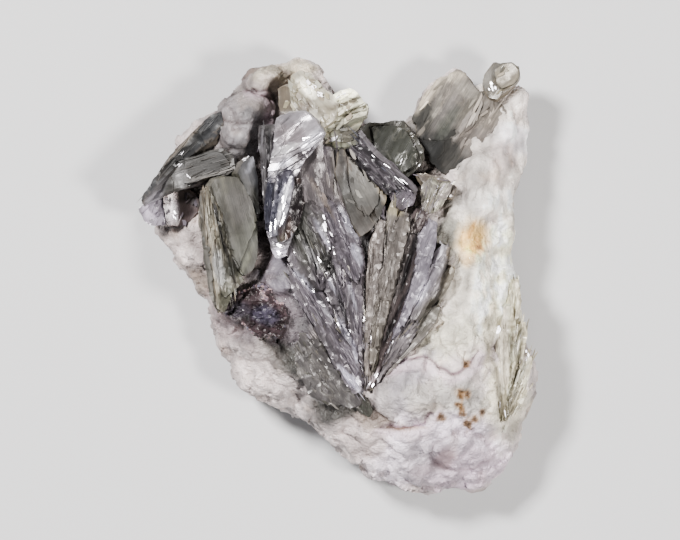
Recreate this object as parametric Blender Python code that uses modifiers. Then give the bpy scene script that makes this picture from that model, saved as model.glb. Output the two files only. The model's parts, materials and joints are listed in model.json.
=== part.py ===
"""A muscovite specimen: silvery mica books and fans grown on a loose block of pale quartz.

The specimen lies on its back. +X is to its right, +Y towards its two-horned top and +Z away from the surface
that it rests on, towards its show face. The origin is under the middle of its bounding box, on that surface.
All sizes below are in millimetres; metres() turns them into Blender's units.
"""

from dataclasses import dataclass, replace

import bmesh
import bpy
import numpy as np
from mathutils import Vector

MM = 0.001

# ---------------------------------------------------------------- driving dimensions, mm

GAP = 0.35  # room between a crystal and the pocket that it grew in
HEADROOM = 9.0  # how far a pocket stays open above its crystal's top face
ROOT = 2.5  # how deep a crystal's underside reaches into the quartz under it
OVERHANG = 3.5  # a crystal's edge this near the block's outline, or beyond it, needs no root
LEAN = 3.0  # how far sideways a tilted crystal's underside may lie from its top face
BED = 1.0  # the block is modelled this much too deep, and its rest face is cut there
BELOW = 60.0  # depth of the cutter for the rest face

BLOCK_CELL = 1.25  # grain of the block while it is shaped
BLOCK_FACES = 3000  # triangles of the block before its pockets are cut
SHOULDER = 7.0  # how far in from the outline the show face starts to fall away
BACK_SHOULDER = 12.0  # the same on the back
RIM_SHARE = 0.48  # height of the rim, as a share of the thickness there
RIM_WALL = 0.17  # half the height of the rim's own wall, as a share of the thickness
FACET_SIZE = 10.0  # size of the block's broken facets
FACET_TILT = 0.20  # steepest tilt of a facet
FACET_STEP = 1.0  # highest step between two facets
CHIP = (7.5, 1.0)  # size and depth of the facets that run round the sides as well
CHIP_SIDEWAYS = 0.4  # share of that depth in which they may shift the outline

# The block's outline seen from above, from its top left horn clockwise.
LEFT_HORN = [(-19.5, 46), (-16, 47), (-13.7, 47.5), (-12, 47.2), (-10, 48.2), (-8.3, 48.3), (-6, 47.2), (-4.2, 45.8),
             (-3, 43.5), (-0.8, 40.5), (2, 38), (4, 35)]
SADDLE = [(6.5, 32.8), (10, 32.2), (13.2, 32.6), (14.6, 34.6), (16.2, 35.8)]
RIGHT_HORN = [(17.6, 38.2), (18.7, 40.2), (20.2, 42), (22, 44), (24.2, 44.8), (26.4, 46.3), (27.8, 45.5), (29, 43.8),
              (30, 42.6), (32.5, 43.2), (36, 43), (39.6, 42.3), (41.2, 42.8), (42, 39.8), (42.1, 37.2), (41.7, 35.6),
              (42.2, 34.2)]
RIGHT_SIDE = [(41.9, 29), (41.5, 25), (40.4, 21.6), (39.2, 18.6), (39.1, 16), (39.4, 13.8), (39, 8.6), (38.3, 4.6),
              (38.7, 1.8), (40, -0.8), (40.3, -5), (41, -11), (42, -15.6), (43.8, -19.4), (44.3, -22), (43.9, -25),
              (42.2, -29.6), (41, -33), (40.5, -36), (39.2, -39)]
FOOT = [(36, -43.2), (34.4, -44.9), (33.4, -46.6), (31.8, -47.8), (30, -48), (28.4, -47.2), (26, -47), (24, -47.4),
        (21.4, -48.3), (19, -47.7), (17, -48), (14.8, -47.3), (12.6, -45.4), (10.4, -44.7), (8, -44.8), (5.8, -44),
        (4.6, -42), (2.4, -40.2)]
LOWER_LEFT = [(-2.4, -36), (-6.4, -32.8), (-10, -30), (-14.5, -28.4), (-19, -26.4), (-22.6, -24), (-24, -21),
              (-24.2, -18.8), (-27, -15.6), (-27.8, -11.6), (-28.3, -7.4), (-30.4, -4.2), (-32, -2.8), (-32.6, -0.6),
              (-35, 2.4), (-37.4, 6), (-40, 9.2), (-40, 11)]
LEFT_SIDE = [(-38.6, 14), (-37.6, 19), (-36.2, 25), (-35.4, 28.2), (-35.9, 30.4), (-34, 32.4), (-33, 34.2),
             (-31.2, 35.8), (-27.6, 36.4), (-26.4, 37.6), (-25, 39.8), (-22, 41.8), (-20.8, 43.8)]
OUTLINE = LEFT_HORN + SADDLE + RIGHT_HORN + RIGHT_SIDE + FOOT + LOWER_LEFT + LEFT_SIDE

# Heights of the show face above the rest face, (x, y, z), where the quartz lies bare or under its mica.
HORN_HEIGHTS = [(-16, 43.5, 22), (-20, 37.5, 25.5), (-15.5, 38, 21), (-12.8, 40, 17.5), (-23.5, 32, 26.5),
                (-21, 30, 26), (-26, 36, 22.5), (-33, 32.5, 17.5), (-7, 43, 23), (-5, 36, 25)]
SADDLE_HEIGHTS = [(8, 33, 14), (11, 27, 15), (17.5, 21.5, 15.5), (15, 33.5, 15), (19, 29, 15)]
FIN_HEIGHTS = [(24, 40, 15.5), (21, 34, 16.5), (24, 29, 17.5), (27, 24, 20), (29, 36, 17), (35, 38, 17.5),
               (36, 32, 19), (33, 26, 21), (38, 24, 19.5), (28, 17, 24.5), (34, 15, 23), (29, 8, 26), (35, 4, 22.5),
               (31, -3, 27), (26, -8, 28.5), (36, -12, 24)]
DOME_HEIGHTS = [(22, -15, 29.5), (28, -17, 29), (15, -22, 29), (20, -27, 30), (12, -30, 28.5), (27, -27, 28.5),
                (35, -24, 25), (38, -32, 20.5), (24, -36, 25), (16, -39, 23.5), (31, -41, 20), (8, -38, 24),
                (2, -33, 26), (22, -44, 20)]
LEFT_HEIGHTS = [(-36, 9, 17.5), (-33, 3, 18.5), (-31.5, 10, 21), (-30, -1, 19.5), (-36, 18, 16), (-31, 23, 20),
                (-26, 25, 22.5), (-17, 28, 18.5), (-17, 15, 18.5), (-17, 6, 20.5), (-24, 10, 22)]
MIDDLE_HEIGHTS = [(-13, 1, 26), (-10, -5, 27), (-18, -7, 25), (-24, -11, 20.5), (-19, -16, 23.5), (-12, -18, 26),
                  (-7, -21, 27), (-10, -26, 22.5), (-7, -12, 27.5), (0, -24, 27), (0, 0, 25.5), (0, 18, 25),
                  (-9, 24, 24), (12, 8, 25), (16, -6, 26), (8, -15, 27), (20, 8, 25)]
FACE_HEIGHTS = (HORN_HEIGHTS + SADDLE_HEIGHTS + FIN_HEIGHTS + DOME_HEIGHTS + LEFT_HEIGHTS + MIDDLE_HEIGHTS)

# Heights of the back: broad and nearly level where it rests, lifted under the fin, the horns and the left tip.
BACK_HEIGHTS = [(0, 0, -1.5), (14, -14, -2), (-12, 12, -1.5), (24, -30, -0.5), (-16, -12, 0), (8, -34, -0.5),
                (18, 12, -0.5), (-8, 30, 1), (-22, 32, 4), (-34, 20, 6.5), (-34, 4, 5), (-12, 44, 6), (28, 24, 2.5),
                (34, 40, 7.5), (22, 38, 7), (10, 30, 3), (38, 6, 4), (40, -20, 4.5), (34, -40, 4), (-20, -22, 4)]

# Ledges: along each path the face drops by `drop`, on the right-hand side as the path runs.
LEDGES = [
    (1.3, [(30.5, -17.5), (28.2, -20.6), (25, -21.8), (22, -20), (18.6, -18), (14, -18.8), (10.5, -20.4)]),
    (1.0, [(20.6, -30.6), (19.2, -32.6), (15, -33.4), (9.6, -33.2)]),
    (1.6, [(-14.6, 34.6), (-14.2, 38), (-15.6, 41.2), (-19.4, 41)]),
]


# Rounded lumps of quartz on the show face: (x, y, half width, half height, how far it stands out).
LUMPS = [(-16, 43.5, 5.2, 3.4, 1.8), (-20.5, 37.4, 6, 3.4, 2.2), (-19.8, 33.8, 2.6, 1.7, 1.2),
         (-21.5, 30.6, 3, 2.2, 1.4), (-24.7, 33, 1.7, 4.8, 1.6), (14.5, -26.6, 6.5, 6.6, 1.3), (27, -39, 6.5, 4, 1.4),
         (34, -31, 5, 5, 0.8), (-19, -15.5, 5.5, 3, 1.1), (-9, -21, 6, 4.5, 0.8), (-12.5, 0.5, 4, 4.5, 1),
         (32, 20, 4, 8, 0.9), (37, 31, 3, 8, 1), (-34, 3.5, 4, 4, 1)]


@dataclass(frozen=True)
class Plate:
    """A slab of mica: a flat sheet, or many that grew as one.

    outline is the edge of its top face seen from above, point lies on that face, slope is the face's rise along X
    and along Y, and thick is its thickness, square to the face. Its underside may spread wider than its top.
    """

    outline: list
    point: tuple
    slope: tuple
    thick: float
    spread: float = 0.0

    def top(self, x, y):
        """Height of the plate's top face above the rest face."""
        x0, y0, z0 = self.point
        return z0 + self.slope[0] * (x - x0) + self.slope[1] * (y - y0)

    def normal(self):
        """The way that the top face looks."""
        return Vector((-self.slope[0], -self.slope[1], 1)).normalized()

    def ring(self, grow, rise):
        """The outline, grown by that much and lifted square to the face, as far as it may lean."""
        square = self.normal()
        across = square.xy * float(max(-LEAN, min(LEAN, rise)))
        up = rise / square.z + across.dot(Vector(self.slope))
        return [Vector((x + across.x, y + across.y, self.top(x, y) + up)) for x, y in offset(self.outline, grow)]

    def rooted(self):
        """The same plate, thick enough for its underside to reach into the quartz under it."""
        places = np.array(self.outline, float)
        inset, side = distance_to_path(places, OUTLINE, closed=True)
        bedded = (inset > OVERHANG) & (side > 0)
        if not bedded.any():
            return self
        heights = Relief(FACE_HEIGHTS).at(places)
        above = max(self.top(x, y) - float(z) for (x, y), z, held in zip(self.outline, heights, bedded) if held)
        return replace(self, thick=max(self.thick, (above + ROOT) * self.normal().z))


@dataclass(frozen=True)
class Fan:
    """Long leaves of mica that spread from one foot. Each leaf is (tip x, tip y, tip z, width, roll)."""

    foot: tuple
    leaves: list
    thick: float
    belly: float = 0.62  # where along a leaf it is widest

    def plates(self):
        """One plate for each leaf."""
        return [self.leaf(order, *leaf) for order, leaf in enumerate(self.leaves)]

    def leaf(self, order, x, y, z, width, roll):
        """A lance-shaped plate from the foot to its tip, rolled about its own length."""
        # The leaves leave the foot one above another and a little apart, so that no three faces share a point.
        foot = Vector(self.foot) + Vector((0.19 * (order % 3), -0.13 * (order % 4), -0.11 * order))
        along = Vector((x, y, z)) - foot
        length = along.xy.length
        ahead = along.xy / length
        aside = Vector((ahead.y, -ahead.x))
        half_widths = [(0, 0.16), (0.3, 0.34), (self.belly, 0.5), (0.88, 0.4), (1, 0.14)]
        right = [foot.xy + ahead * (t * length) + aside * (w * width) for t, w in half_widths]
        left = [foot.xy + ahead * (t * length) - aside * (w * width) for t, w in reversed(half_widths)]
        slope = ahead * (along.z / length) + aside * roll
        return Plate([tuple(p) for p in left + right], tuple(foot), tuple(slope), self.thick)


# ---------------------------------------------------------------- the crystals

# A tall book whose face falls to the right, so that its striated left side shows; a second one stands behind it.
LEFT_BOOK = [
    Plate([(-28, 20), (-26.8, 21.5), (-24.8, 22), (-22.4, 22), (-20.8, 20), (-19.2, 17), (-18.1, 13.6), (-17.7, 8),
           (-17.9, 4), (-19, 1.4), (-21, 0.2), (-22.2, 1.6), (-24, 6), (-24.8, 10), (-25.6, 14), (-27, 17.2)],
          (-25, 10, 31.4), (-0.5, 0.03), 3),
    Plate([(-28.6, 19.8), (-27.2, 20), (-25.4, 15), (-24, 8), (-22, 1), (-20.6, -0.6), (-22.4, -2.4), (-25, -4.6),
           (-26, -2), (-26.4, 6), (-27.2, 13)], (-27, 10, 31.6), (-0.5, 0.03), 3.4),
    Plate([(-29.4, 19.6), (-27, 18), (-25, 6), (-23.4, -4), (-25, -7.8), (-26.6, -7), (-27.4, 0), (-28.4, 9)],
          (-28, 8, 30.6), (-0.5, 0.03), 4),
    Plate([(-30.4, 19), (-28.6, 19), (-27, 6), (-25.2, -6), (-26.6, -8), (-28.4, -4), (-29.6, 4), (-30.6, 12)],
          (-29.6, 8, 28.8), (-0.4, 0.03), 6),
    Plate([(-22.2, 22.8), (-21, 25.4), (-18.8, 26.8), (-17.8, 22), (-17.4, 14), (-18.3, 14), (-20.2, 18.6)],
          (-20, 21, 28.6), (-0.9, -0.05), 4),
]

UPPER_LEFT_BLADES = [
    Plate([(-26, 36.9), (-25.4, 33.6), (-27.4, 30.6), (-31.4, 27.6), (-35.6, 24.6), (-39, 21.4), (-42.2, 17.6),
           (-43.6, 16.6), (-43.2, 18), (-40.2, 22.6), (-38, 26), (-35.4, 29.2), (-31, 33.4), (-28.6, 35.7)],
          (-32, 30, 22.4), (0.26, -0.36), 3.6),
    Plate([(-35.4, 25.6), (-31, 27), (-28.4, 28), (-25.4, 28.4), (-23.2, 26.4), (-22.8, 23.8), (-24.4, 22.6),
           (-29.6, 21.5), (-33, 20), (-38, 18.4), (-40.6, 17.2), (-42.6, 16.4), (-41, 19.4), (-38.6, 22)],
          (-32, 23.6, 24.6), (0.18, 0.04), 3.4),
    Plate([(-33.8, 26.2), (-31, 26.8), (-28.4, 27.6), (-25.6, 27.4), (-24, 25), (-24.8, 23), (-29.8, 21.8),
           (-32.6, 20.8), (-34.4, 20.8)], (-29, 24.2, 26.2), (0.15, 0.08), 3.4),
]

LEFT_TIP_BOOK = [
    Plate([(-44.3, 15), (-43.4, 12.8), (-42.4, 11.8), (-40.4, 11.3), (-38.2, 11.6), (-37.6, 14), (-38.4, 17),
           (-40.4, 16.6), (-42.8, 15.8)], (-41, 14, 18.4), (0.22, 0.28), 5),
    Plate([(-38.6, 17.4), (-37.8, 11.4), (-35, 11.5), (-33, 12.4), (-31.4, 14.4), (-32, 17.4), (-33, 19.4),
           (-36, 18.5)], (-36, 15, 19.4), (-0.24, 0.1), 5),
]

# The highest blade: a broad upper plate, diagonal steps under its lower edge, and ridges that run down to a
# bright stepped end. Thin upright sheets stand along its left side.
SILVER_BLADE = [
    Plate([(-12.8, 35), (-13.9, 32.6), (-14.2, 29.6), (-14, 27), (-12.4, 25.2), (-9.4, 25.2), (-7.8, 25.4),
           (-5.6, 27.2), (-4, 29.2), (-3.3, 30.6), (-4.4, 33), (-7, 35), (-10, 36)],
          (-9, 30, 35.4), (0.1, 0.06), 4, -1.6),
    Plate([(-14.2, 29), (-15, 25.4), (-15.4, 22.6), (-11.6, 23.4), (-8.8, 25.8), (-9, 29)], (-12, 26, 34.6),
          (0.02, 0.2), 4),
    Plate([(-14.8, 25), (-15.6, 20.8), (-12.6, 20.6), (-10, 22.6), (-9.2, 24.4), (-10, 26)], (-12.4, 22.6, 33.8),
          (0.02, 0.2), 4),
    Plate([(-15, 24), (-15.8, 20), (-16.4, 15), (-16.1, 10.6), (-14.6, 9.6), (-13.4, 16), (-12.6, 22)],
          (-15, 16, 32.8), (0.42, 0.05), 4),
    Plate([(-13.4, 23), (-14, 18), (-15.2, 12), (-15.2, 8.6), (-12.8, 9.4), (-11, 15), (-9.8, 20), (-10.2, 23.4)],
          (-12.6, 16, 33.8), (-0.12, 0.05), 4.5),
    Plate([(-11.2, 22.6), (-12, 16), (-13.2, 10), (-12.6, 7.6), (-10.6, 8.6), (-8.8, 12), (-8.5, 17), (-9.2, 21.6)],
          (-11, 16, 33.2), (-0.6, 0.05), 4),
    Plate([(-15.9, 11.6), (-15.4, 8.6), (-14.5, 5.4), (-13.9, 4.2), (-12.8, 4), (-11.8, 4.5), (-11.1, 6.6),
           (-10.2, 9.4), (-11, 12)], (-13, 8, 32.2), (0.05, 0.22), 5),
    Plate([(-17.6, 33.4), (-17.8, 30.6), (-17.2, 26), (-16.8, 20), (-16.4, 14), (-15.4, 16), (-15, 24), (-14.6, 30),
           (-15.8, 33.4)], (-16.2, 26, 29.2), (0.5, 0.02), 5),
]

# Crumpled flakes round the top of the left horn, with ledges on the right and two dark upright sheets on the left.
CREST_FLAKES = [
    Plate([(-10, 44.4), (-8, 45.6), (-6.4, 44.8), (-3.8, 42), (-1, 40.2), (0.6, 37.6), (-2, 34.6), (-5.4, 33.4),
           (-8, 34.6), (-10, 36.4), (-10.3, 40)], (-6, 39, 29.8), (0.05, -0.3), 4, -1),
    Plate([(-9.2, 43.4), (-7, 44.2), (-4, 41), (-1.4, 39), (-3.2, 36.4), (-7, 36), (-9.4, 38)], (-6, 40, 31.2),
          (0.14, -0.22), 4),
    Plate([(-1.4, 39.6), (1, 40.8), (2.6, 41.5), (4, 40.4), (5.6, 38.4), (3.4, 37.8), (0.6, 36.2), (-2.4, 35.6)],
          (2, 39, 30.6), (-0.1, -0.1), 5),
    Plate([(-2.6, 36.2), (0.8, 36.8), (3.4, 38.2), (5.8, 38.6), (6.5, 37.4), (6.3, 35.6), (3.4, 35.2), (0, 33),
           (-2.6, 33)], (2, 36, 29.6), (-0.1, -0.2), 5),
    Plate([(-4.6, 34.8), (-2.4, 34.6), (0.2, 33.8), (3.2, 35.6), (6.2, 35.8), (4.6, 33), (3.4, 31.6), (0, 31.2),
           (-2.2, 32.4)], (2, 33.4, 28.6), (-0.12, -0.15), 5),
    Plate([(-13.4, 41.6), (-12.2, 42.2), (-9.8, 41.4), (-9.6, 36.6), (-11.2, 36), (-13, 36.6)], (-11.5, 39, 24.6),
          (0.6, 0.1), 4),
]

CENTRAL_FAN = Fan((5.4, -25.8, 26.8), [
    (-6.4, -6.4, 27.6, 5.4, 0.25), (-10.6, 2.4, 28.2, 6.2, -0.14), (-10.4, 8, 28.8, 4.6, 0.3),
    (-9.2, 13.2, 29.2, 6.4, 0.02), (-8.8, 19.6, 30.6, 6.6, -0.2), (-4.6, 28.6, 31.6, 8.6, 0.1),
    (-0.6, 30, 30.8, 6.4, -0.16), (3.2, 28.4, 30, 6, 0.14), (6.2, 12, 29.6, 6.4, -0.2), (6.4, 2, 30, 4.6, 0.12),
    (-3.4, -6, 28.2, 5, -0.2), (1.4, 4, 31.2, 4.4, 0.3), (-1.6, 14.4, 31.4, 3.6, -0.32),
], 4)

SHELL_PLATE = [
    Plate([(0.4, 29), (2.6, 27.6), (5, 26), (7.2, 23.8), (9.4, 21.4), (10.6, 19), (10.4, 16.4), (9.2, 13.6),
           (7.4, 10.6), (5, 9), (3, 12), (1.2, 17), (-0.6, 23)], (5, 18, 32.2), (-0.16, 0.04), 3),
    Plate([(2.2, 26.4), (5, 24.4), (7.4, 22), (9, 19.4), (8.6, 16), (6.6, 13.4), (4.4, 15), (2.4, 20)],
          (5, 19, 33), (-0.22, 0.02), 3),
]

RIDGE_BLADE = [
    Plate([(2.6, 31), (4.2, 31.4), (6.6, 28.2), (8.2, 26.6), (12, 23.2), (15.4, 20.2), (16.6, 18.2), (12.6, 19.6),
           (10.8, 21.2), (8, 24), (5.4, 26.8), (2.6, 28.8)], (9, 24.8, 31.8), (0.3, 0.3), 5),
]

GREEN_PLATE = [
    Plate([(4.8, 33), (7, 34.3), (10, 34.1), (12, 34.6), (14.6, 34.5), (16, 32.2), (17.6, 30.4), (18.8, 28.4),
           (18.9, 26.6), (18.2, 24.8), (16.6, 23), (14.4, 21.6), (12, 22.6), (8, 26), (5.4, 30)],
          (12, 29, 21), (0.1, -0.12), 3),
    Plate([(7.4, 33), (12.4, 33.6), (14.6, 32.6), (16.4, 29.8), (17.6, 27), (16.6, 24.6), (14, 23.2), (11, 25),
           (8, 29)], (12, 29, 22.4), (0.14, -0.1), 3),
]

SMALL_BOOK = [
    Plate([(11.2, 17.6), (12, 18.8), (13.4, 19.6), (15, 19.8), (16.4, 18.8), (16.9, 17.4), (16.2, 15.8),
           (13.8, 14.6), (12.4, 15.6)], (14, 17, 29), (0.1, 0.35), 5),
]

TWIN_BOOKS = [
    Plate([(18.4, 20.4), (20, 21.6), (21.5, 20.2), (21.5, 18.4), (20.6, 15.4), (20, 14.1), (18.4, 15.6), (18, 18)],
          (20, 18, 27), (0.3, 0.1), 5),
    Plate([(21.9, 19.2), (23.4, 20.8), (25.2, 20.4), (24.6, 18.4), (23.2, 16.4), (22.2, 14.6), (21, 14.3),
           (21.2, 17)], (23, 18, 26.4), (-0.34, 0.15), 5),
    Plate([(17.2, 22.9), (19, 22.7), (22, 22.4), (24.2, 21.6), (26, 19.8), (25, 17.6), (21, 19), (19.4, 20)],
          (22, 21, 24.8), (0.02, -0.2), 4),
]

# A thin skin of grey mica over the upper left of the right horn, in three panes.
FIN_MICA = [
    Plate([(16.4, 35.6), (17.8, 38), (19.5, 41), (21.8, 43.2), (24.2, 44), (26.2, 45), (27.4, 42), (26, 36),
           (24, 33.4)], (21.6, 38.6, 16.4), (0.14, -0.04), 2.5),
    Plate([(26, 45.2), (27.4, 44.6), (28.8, 43), (30.2, 41.8), (33, 40.6), (36, 38.8), (37.2, 36), (33.2, 32.2),
           (29, 33), (24.6, 34), (24.6, 40)], (29, 38, 17.6), (0.05, -0.08), 2.5),
    Plate([(16.6, 35.4), (24, 35.4), (30, 34.2), (33.2, 32.4), (31.8, 30), (28.4, 25), (26.6, 23), (23.4, 23.6),
           (20.6, 25.2), (19.6, 28), (18.4, 31)], (25, 30, 18.3), (0.2, -0.06), 2.5),
]

# Two lobes with a groove between them.
RIGHT_FAN = Fan((6.4, -24.6, 27), [
    (7.8, 7, 29.4, 4, -0.25), (9.6, 12.6, 30.8, 5, -0.2), (12.2, 16.4, 31.2, 4, 0.12), (14.6, 13.8, 32, 5.4, -0.1),
    (15.6, 9.4, 31.4, 4.6, 0.4), (19, 14.4, 29.6, 5.2, -0.5), (20.8, 12, 31, 6, -0.05),
    (23.4, 7, 30.2, 4.6, 0.22), (25.2, 2, 28.2, 4.4, -0.1), (22, -6.4, 28.4, 4.2, 0.15),
    (17, -10, 29.2, 3.6, -0.3),
], 4, 0.7)

TIP_BOOK = [
    Plate([(32, 43.8), (32.8, 45.8), (34.6, 47.6), (36, 47.4), (38.4, 47.8), (40, 46.6), (40.2, 44.8), (39.2, 42.9),
           (37.2, 41.2), (35, 39.4), (33.4, 39.8), (32.2, 41.6)], (36, 43, 19.4), (0.05, -0.2), 5.5),
    Plate([(34.8, 46), (36.4, 47.2), (38.4, 47.4), (39.8, 46.2), (39.9, 44.8), (38.8, 43), (36.4, 41.8),
           (35, 43)], (37, 44.5, 20.2), (0.14, -0.14), 4),
]

RIM_MICA = Fan((36.2, -31.6, 21.6), [
    (36.4, -12, 25.4, 3.4, 0.1), (37.8, -6.4, 25, 3.8, -0.2), (39.4, -0.4, 21.4, 3.4, -0.45),
    (41, -10, 20.8, 3.6, -0.3), (42.4, -17.6, 19.6, 4, -0.5), (41.4, -23, 19, 4, -0.3),
], 4.5, 0.5)

DARK_CRUST = [
    Plate([(-26, -7.2), (-24.4, -5.4), (-22, -3.6), (-19, -2.5), (-17, -1.6), (-15, -2.8), (-14.6, -5),
           (-12.4, -6), (-11.4, -8.6), (-12, -11), (-13, -13), (-15, -13), (-17.6, -13.4), (-19.4, -11.8),
           (-21.4, -9.4), (-24, -8.6)], (-18, -8, 26), (0.22, -0.06), 3),
]

LOWER_FLAKE = [
    Plate([(4, -26.8), (6, -26.2), (7.4, -27.6), (8.2, -30), (7.4, -31.6), (5, -31), (3.6, -29)], (6, -29, 27.6),
          (0.05, 0.12), 4),
]

CRYSTALS = {
    "silver_blade": SILVER_BLADE,
    "crest_flakes": CREST_FLAKES,
    "upper_left_blades": UPPER_LEFT_BLADES,
    "left_tip_book": LEFT_TIP_BOOK,
    "left_book": LEFT_BOOK,
    "small_book": SMALL_BOOK,
    "ridge_blade": RIDGE_BLADE,
    "shell_plate": SHELL_PLATE,
    "right_fan": RIGHT_FAN.plates(),
    "central_fan": CENTRAL_FAN.plates(),
    "twin_books": TWIN_BOOKS,
    "green_plate": GREEN_PLATE,
    "tip_book": TIP_BOOK,
    "fin_mica": FIN_MICA,
    "rim_mica": RIM_MICA.plates(),
    "dark_crust": DARK_CRUST,
    "lower_flake": LOWER_FLAKE,
}

# Colour, roughness and metallic value of each finish.
FINISHES = {
    "matrix": ((0.70, 0.66, 0.66), 0.7, 0.0),
    "dark_crust": ((0.12, 0.07, 0.10), 0.6, 0.0),
    "green_plate": ((0.17, 0.18, 0.14), 0.3, 0.2),
    "crest_flakes": ((0.62, 0.60, 0.47), 0.35, 0.3),
    "mica": ((0.42, 0.40, 0.38), 0.3, 0.45),
}


# ---------------------------------------------------------------- shaping


def clear_scene():
    """Removes the objects that Blender starts with."""
    for obj in list(bpy.data.objects):
        bpy.data.objects.remove(obj)


def collection(name, shown=True):
    """A new collection in the scene; one that isn't shown holds cutters."""
    made = bpy.data.collections.new(name)
    made.hide_render = not shown
    bpy.context.scene.collection.children.link(made)
    return made


def hashed(cells, salt):
    """A repeatable number from 0 to 1 for each row of whole-number cells."""
    primes = np.array([73856093, 19349663, 83492791], np.int64)
    mixed = (cells.astype(np.int64) * primes).sum(axis=-1) + salt * 2654435761
    mixed = (mixed ^ (mixed >> 13)) * 1274126177 & 0xFFFFFFFF
    mixed = (mixed ^ (mixed >> 16)) * 2246822519 & 0xFFFFFFFF
    return (mixed ^ (mixed >> 15)) / 2**32


def facets(points, size, salt):
    """Broken facets: space is parted into cells, and each cell has one tilted plane. From about -1 to 1."""
    scaled = points / size
    home = np.floor(scaled).astype(np.int64)
    nearest = np.full(len(points), np.inf)
    height = np.zeros(len(points))
    for step in np.ndindex(3, 3, 3):
        cell = home + np.array(step) - 1
        centre = cell + np.stack([hashed(cell, salt + k) for k in range(3)], axis=-1)
        away = scaled - centre
        distance = (away**2).sum(axis=-1)
        tilt = np.stack([hashed(cell, salt + k) for k in range(3, 6)], axis=-1) - 0.5
        plane = hashed(cell, salt + 6) * 2 - 1 + 2 * FACET_TILT * size / FACET_STEP * (away * tilt).sum(axis=-1)
        closer = distance < nearest
        nearest = np.where(closer, distance, nearest)
        height = np.where(closer, plane, height)
    return height


class Relief:
    """A smooth surface through a few measured heights, by multiquadric interpolation."""

    softness = 3.5

    def __init__(self, heights):
        table = np.array(heights, float)
        self.places = table[:, :2]
        count = len(table)
        system = np.zeros((count + 1, count + 1))
        system[:count, :count] = self.kernel(self.places)
        system[:count, count] = system[count, :count] = 1
        self.weights = np.linalg.solve(system, np.append(table[:, 2], 0))

    def kernel(self, places):
        """One column for each measured height."""
        away = places[:, None, :] - self.places[None, :, :]
        return np.sqrt((away**2).sum(axis=2) + self.softness**2)

    def at(self, places):
        """Heights at the given places."""
        return self.kernel(places) @ self.weights[:-1] + self.weights[-1]


def distance_to_path(places, path, closed=False):
    """Distance from each place to a path of straight runs, and the side it lies on: 1 right, -1 left."""
    ends = np.array(path, float)
    starts, stops = (ends, np.roll(ends, -1, axis=0)) if closed else (ends[:-1], ends[1:])
    best = np.full(len(places), np.inf)
    side = np.ones(len(places))
    for start, stop in zip(starts, stops):
        run = stop - start
        share = np.clip((places - start) @ run / (run @ run), 0, 1)
        away = places - start - share[:, None] * run
        distance = np.hypot(away[:, 0], away[:, 1])
        right = np.sign(run[1] * away[:, 0] - run[0] * away[:, 1])
        closer = distance < best
        side = np.where(closer, right, side)
        best = np.where(closer, distance, best)
    return best, side


def rounded(share):
    """A quarter-round profile: 0 at the rim and 1 from a share of 1 on."""
    return np.sqrt(1 - (1 - np.clip(share, 0, 1)) ** 2)


def lump_rise(places):
    """How far the lumps stand out of the show face at each place."""
    rise = np.zeros(len(places))
    for x, y, half_width, half_height, height in LUMPS:
        away = ((places[:, 0] - x) / half_width) ** 2 + ((places[:, 1] - y) / half_height) ** 2
        rise = np.maximum(rise, height * np.sqrt(np.clip(1 - away, 0, 1)))
    return rise


def ledge_drop(places):
    """How much the ledges lower the show face at each place."""
    drop = np.zeros(len(places))
    for depth, path in LEDGES:
        distance, side = distance_to_path(places, path)
        fade = np.clip(1 - distance / 7, 0, 1)
        drop += depth * fade * np.clip(0.5 + side * distance / 1.2, 0, 1)
    return drop


def surfaces(places):
    """Heights of the show face and of the back at each place, with the rim between them."""
    inset, _ = distance_to_path(places, OUTLINE, closed=True)
    face = Relief(FACE_HEIGHTS).at(places) - ledge_drop(places) + lump_rise(places)
    flat = np.column_stack([places, np.zeros(len(places))])
    face += FACET_STEP * facets(flat, FACET_SIZE, 3)
    back = np.maximum(Relief(BACK_HEIGHTS).at(places) + facets(flat, FACET_SIZE, 11), 0)
    middle = back + RIM_SHARE * (face - back)
    wall = RIM_WALL * (face - back)
    ripple = 1 + 0.35 * facets(flat, 6, 23)
    front = middle + wall + (face - middle - wall) * rounded(inset / (SHOULDER * ripple))
    rear = middle - wall - (middle - wall - back) * rounded(inset / (BACK_SHOULDER * ripple))
    return front, rear


def read_points(mesh):
    """A mesh's points as rows of millimetres."""
    points = np.empty(len(mesh.vertices) * 3)
    mesh.vertices.foreach_get("co", points)
    return points.reshape(-1, 3) / MM


def write_points(mesh, points):
    """Puts rows of millimetres back into a mesh."""
    mesh.vertices.foreach_set("co", (points * MM).ravel())
    mesh.update()


def settle(obj):
    """Applies every modifier of an object."""
    graph = bpy.context.evaluated_depsgraph_get()
    shaped = bpy.data.meshes.new_from_object(obj.evaluated_get(graph))
    obj.modifiers.clear()
    obj.data = shaped
    shaped.name = obj.name


def remesh(obj, cell):
    """Gives an object an even grain of that size."""
    modifier = obj.modifiers.new("grain", "REMESH")
    modifier.mode = "VOXEL"
    modifier.voxel_size = cell * MM
    settle(obj)


def boolean(obj, others, operation):
    """Joins or cuts an object with every object of a collection."""
    modifier = obj.modifiers.new(operation.lower(), "BOOLEAN")
    modifier.operation = operation
    modifier.solver = "EXACT"
    modifier.operand_type = "COLLECTION"
    modifier.collection = others
    settle(obj)


def keep_largest_body(obj):
    """Drops the chips that a cut has parted from the main body."""
    mesh = bmesh.new()
    mesh.from_mesh(obj.data)
    waiting = set(mesh.verts)
    bodies = []
    while waiting:
        body = {waiting.pop()}
        edge = set(body)
        while edge:
            edge = {e.other_vert(v) for v in edge for e in v.link_edges} & waiting
            body |= edge
            waiting -= edge
        bodies.append(body)
    largest = max(bodies, key=len)
    bmesh.ops.delete(mesh, geom=[v for v in mesh.verts if v not in largest], context="VERTS")
    mesh.to_mesh(obj.data)
    mesh.free()


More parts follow.
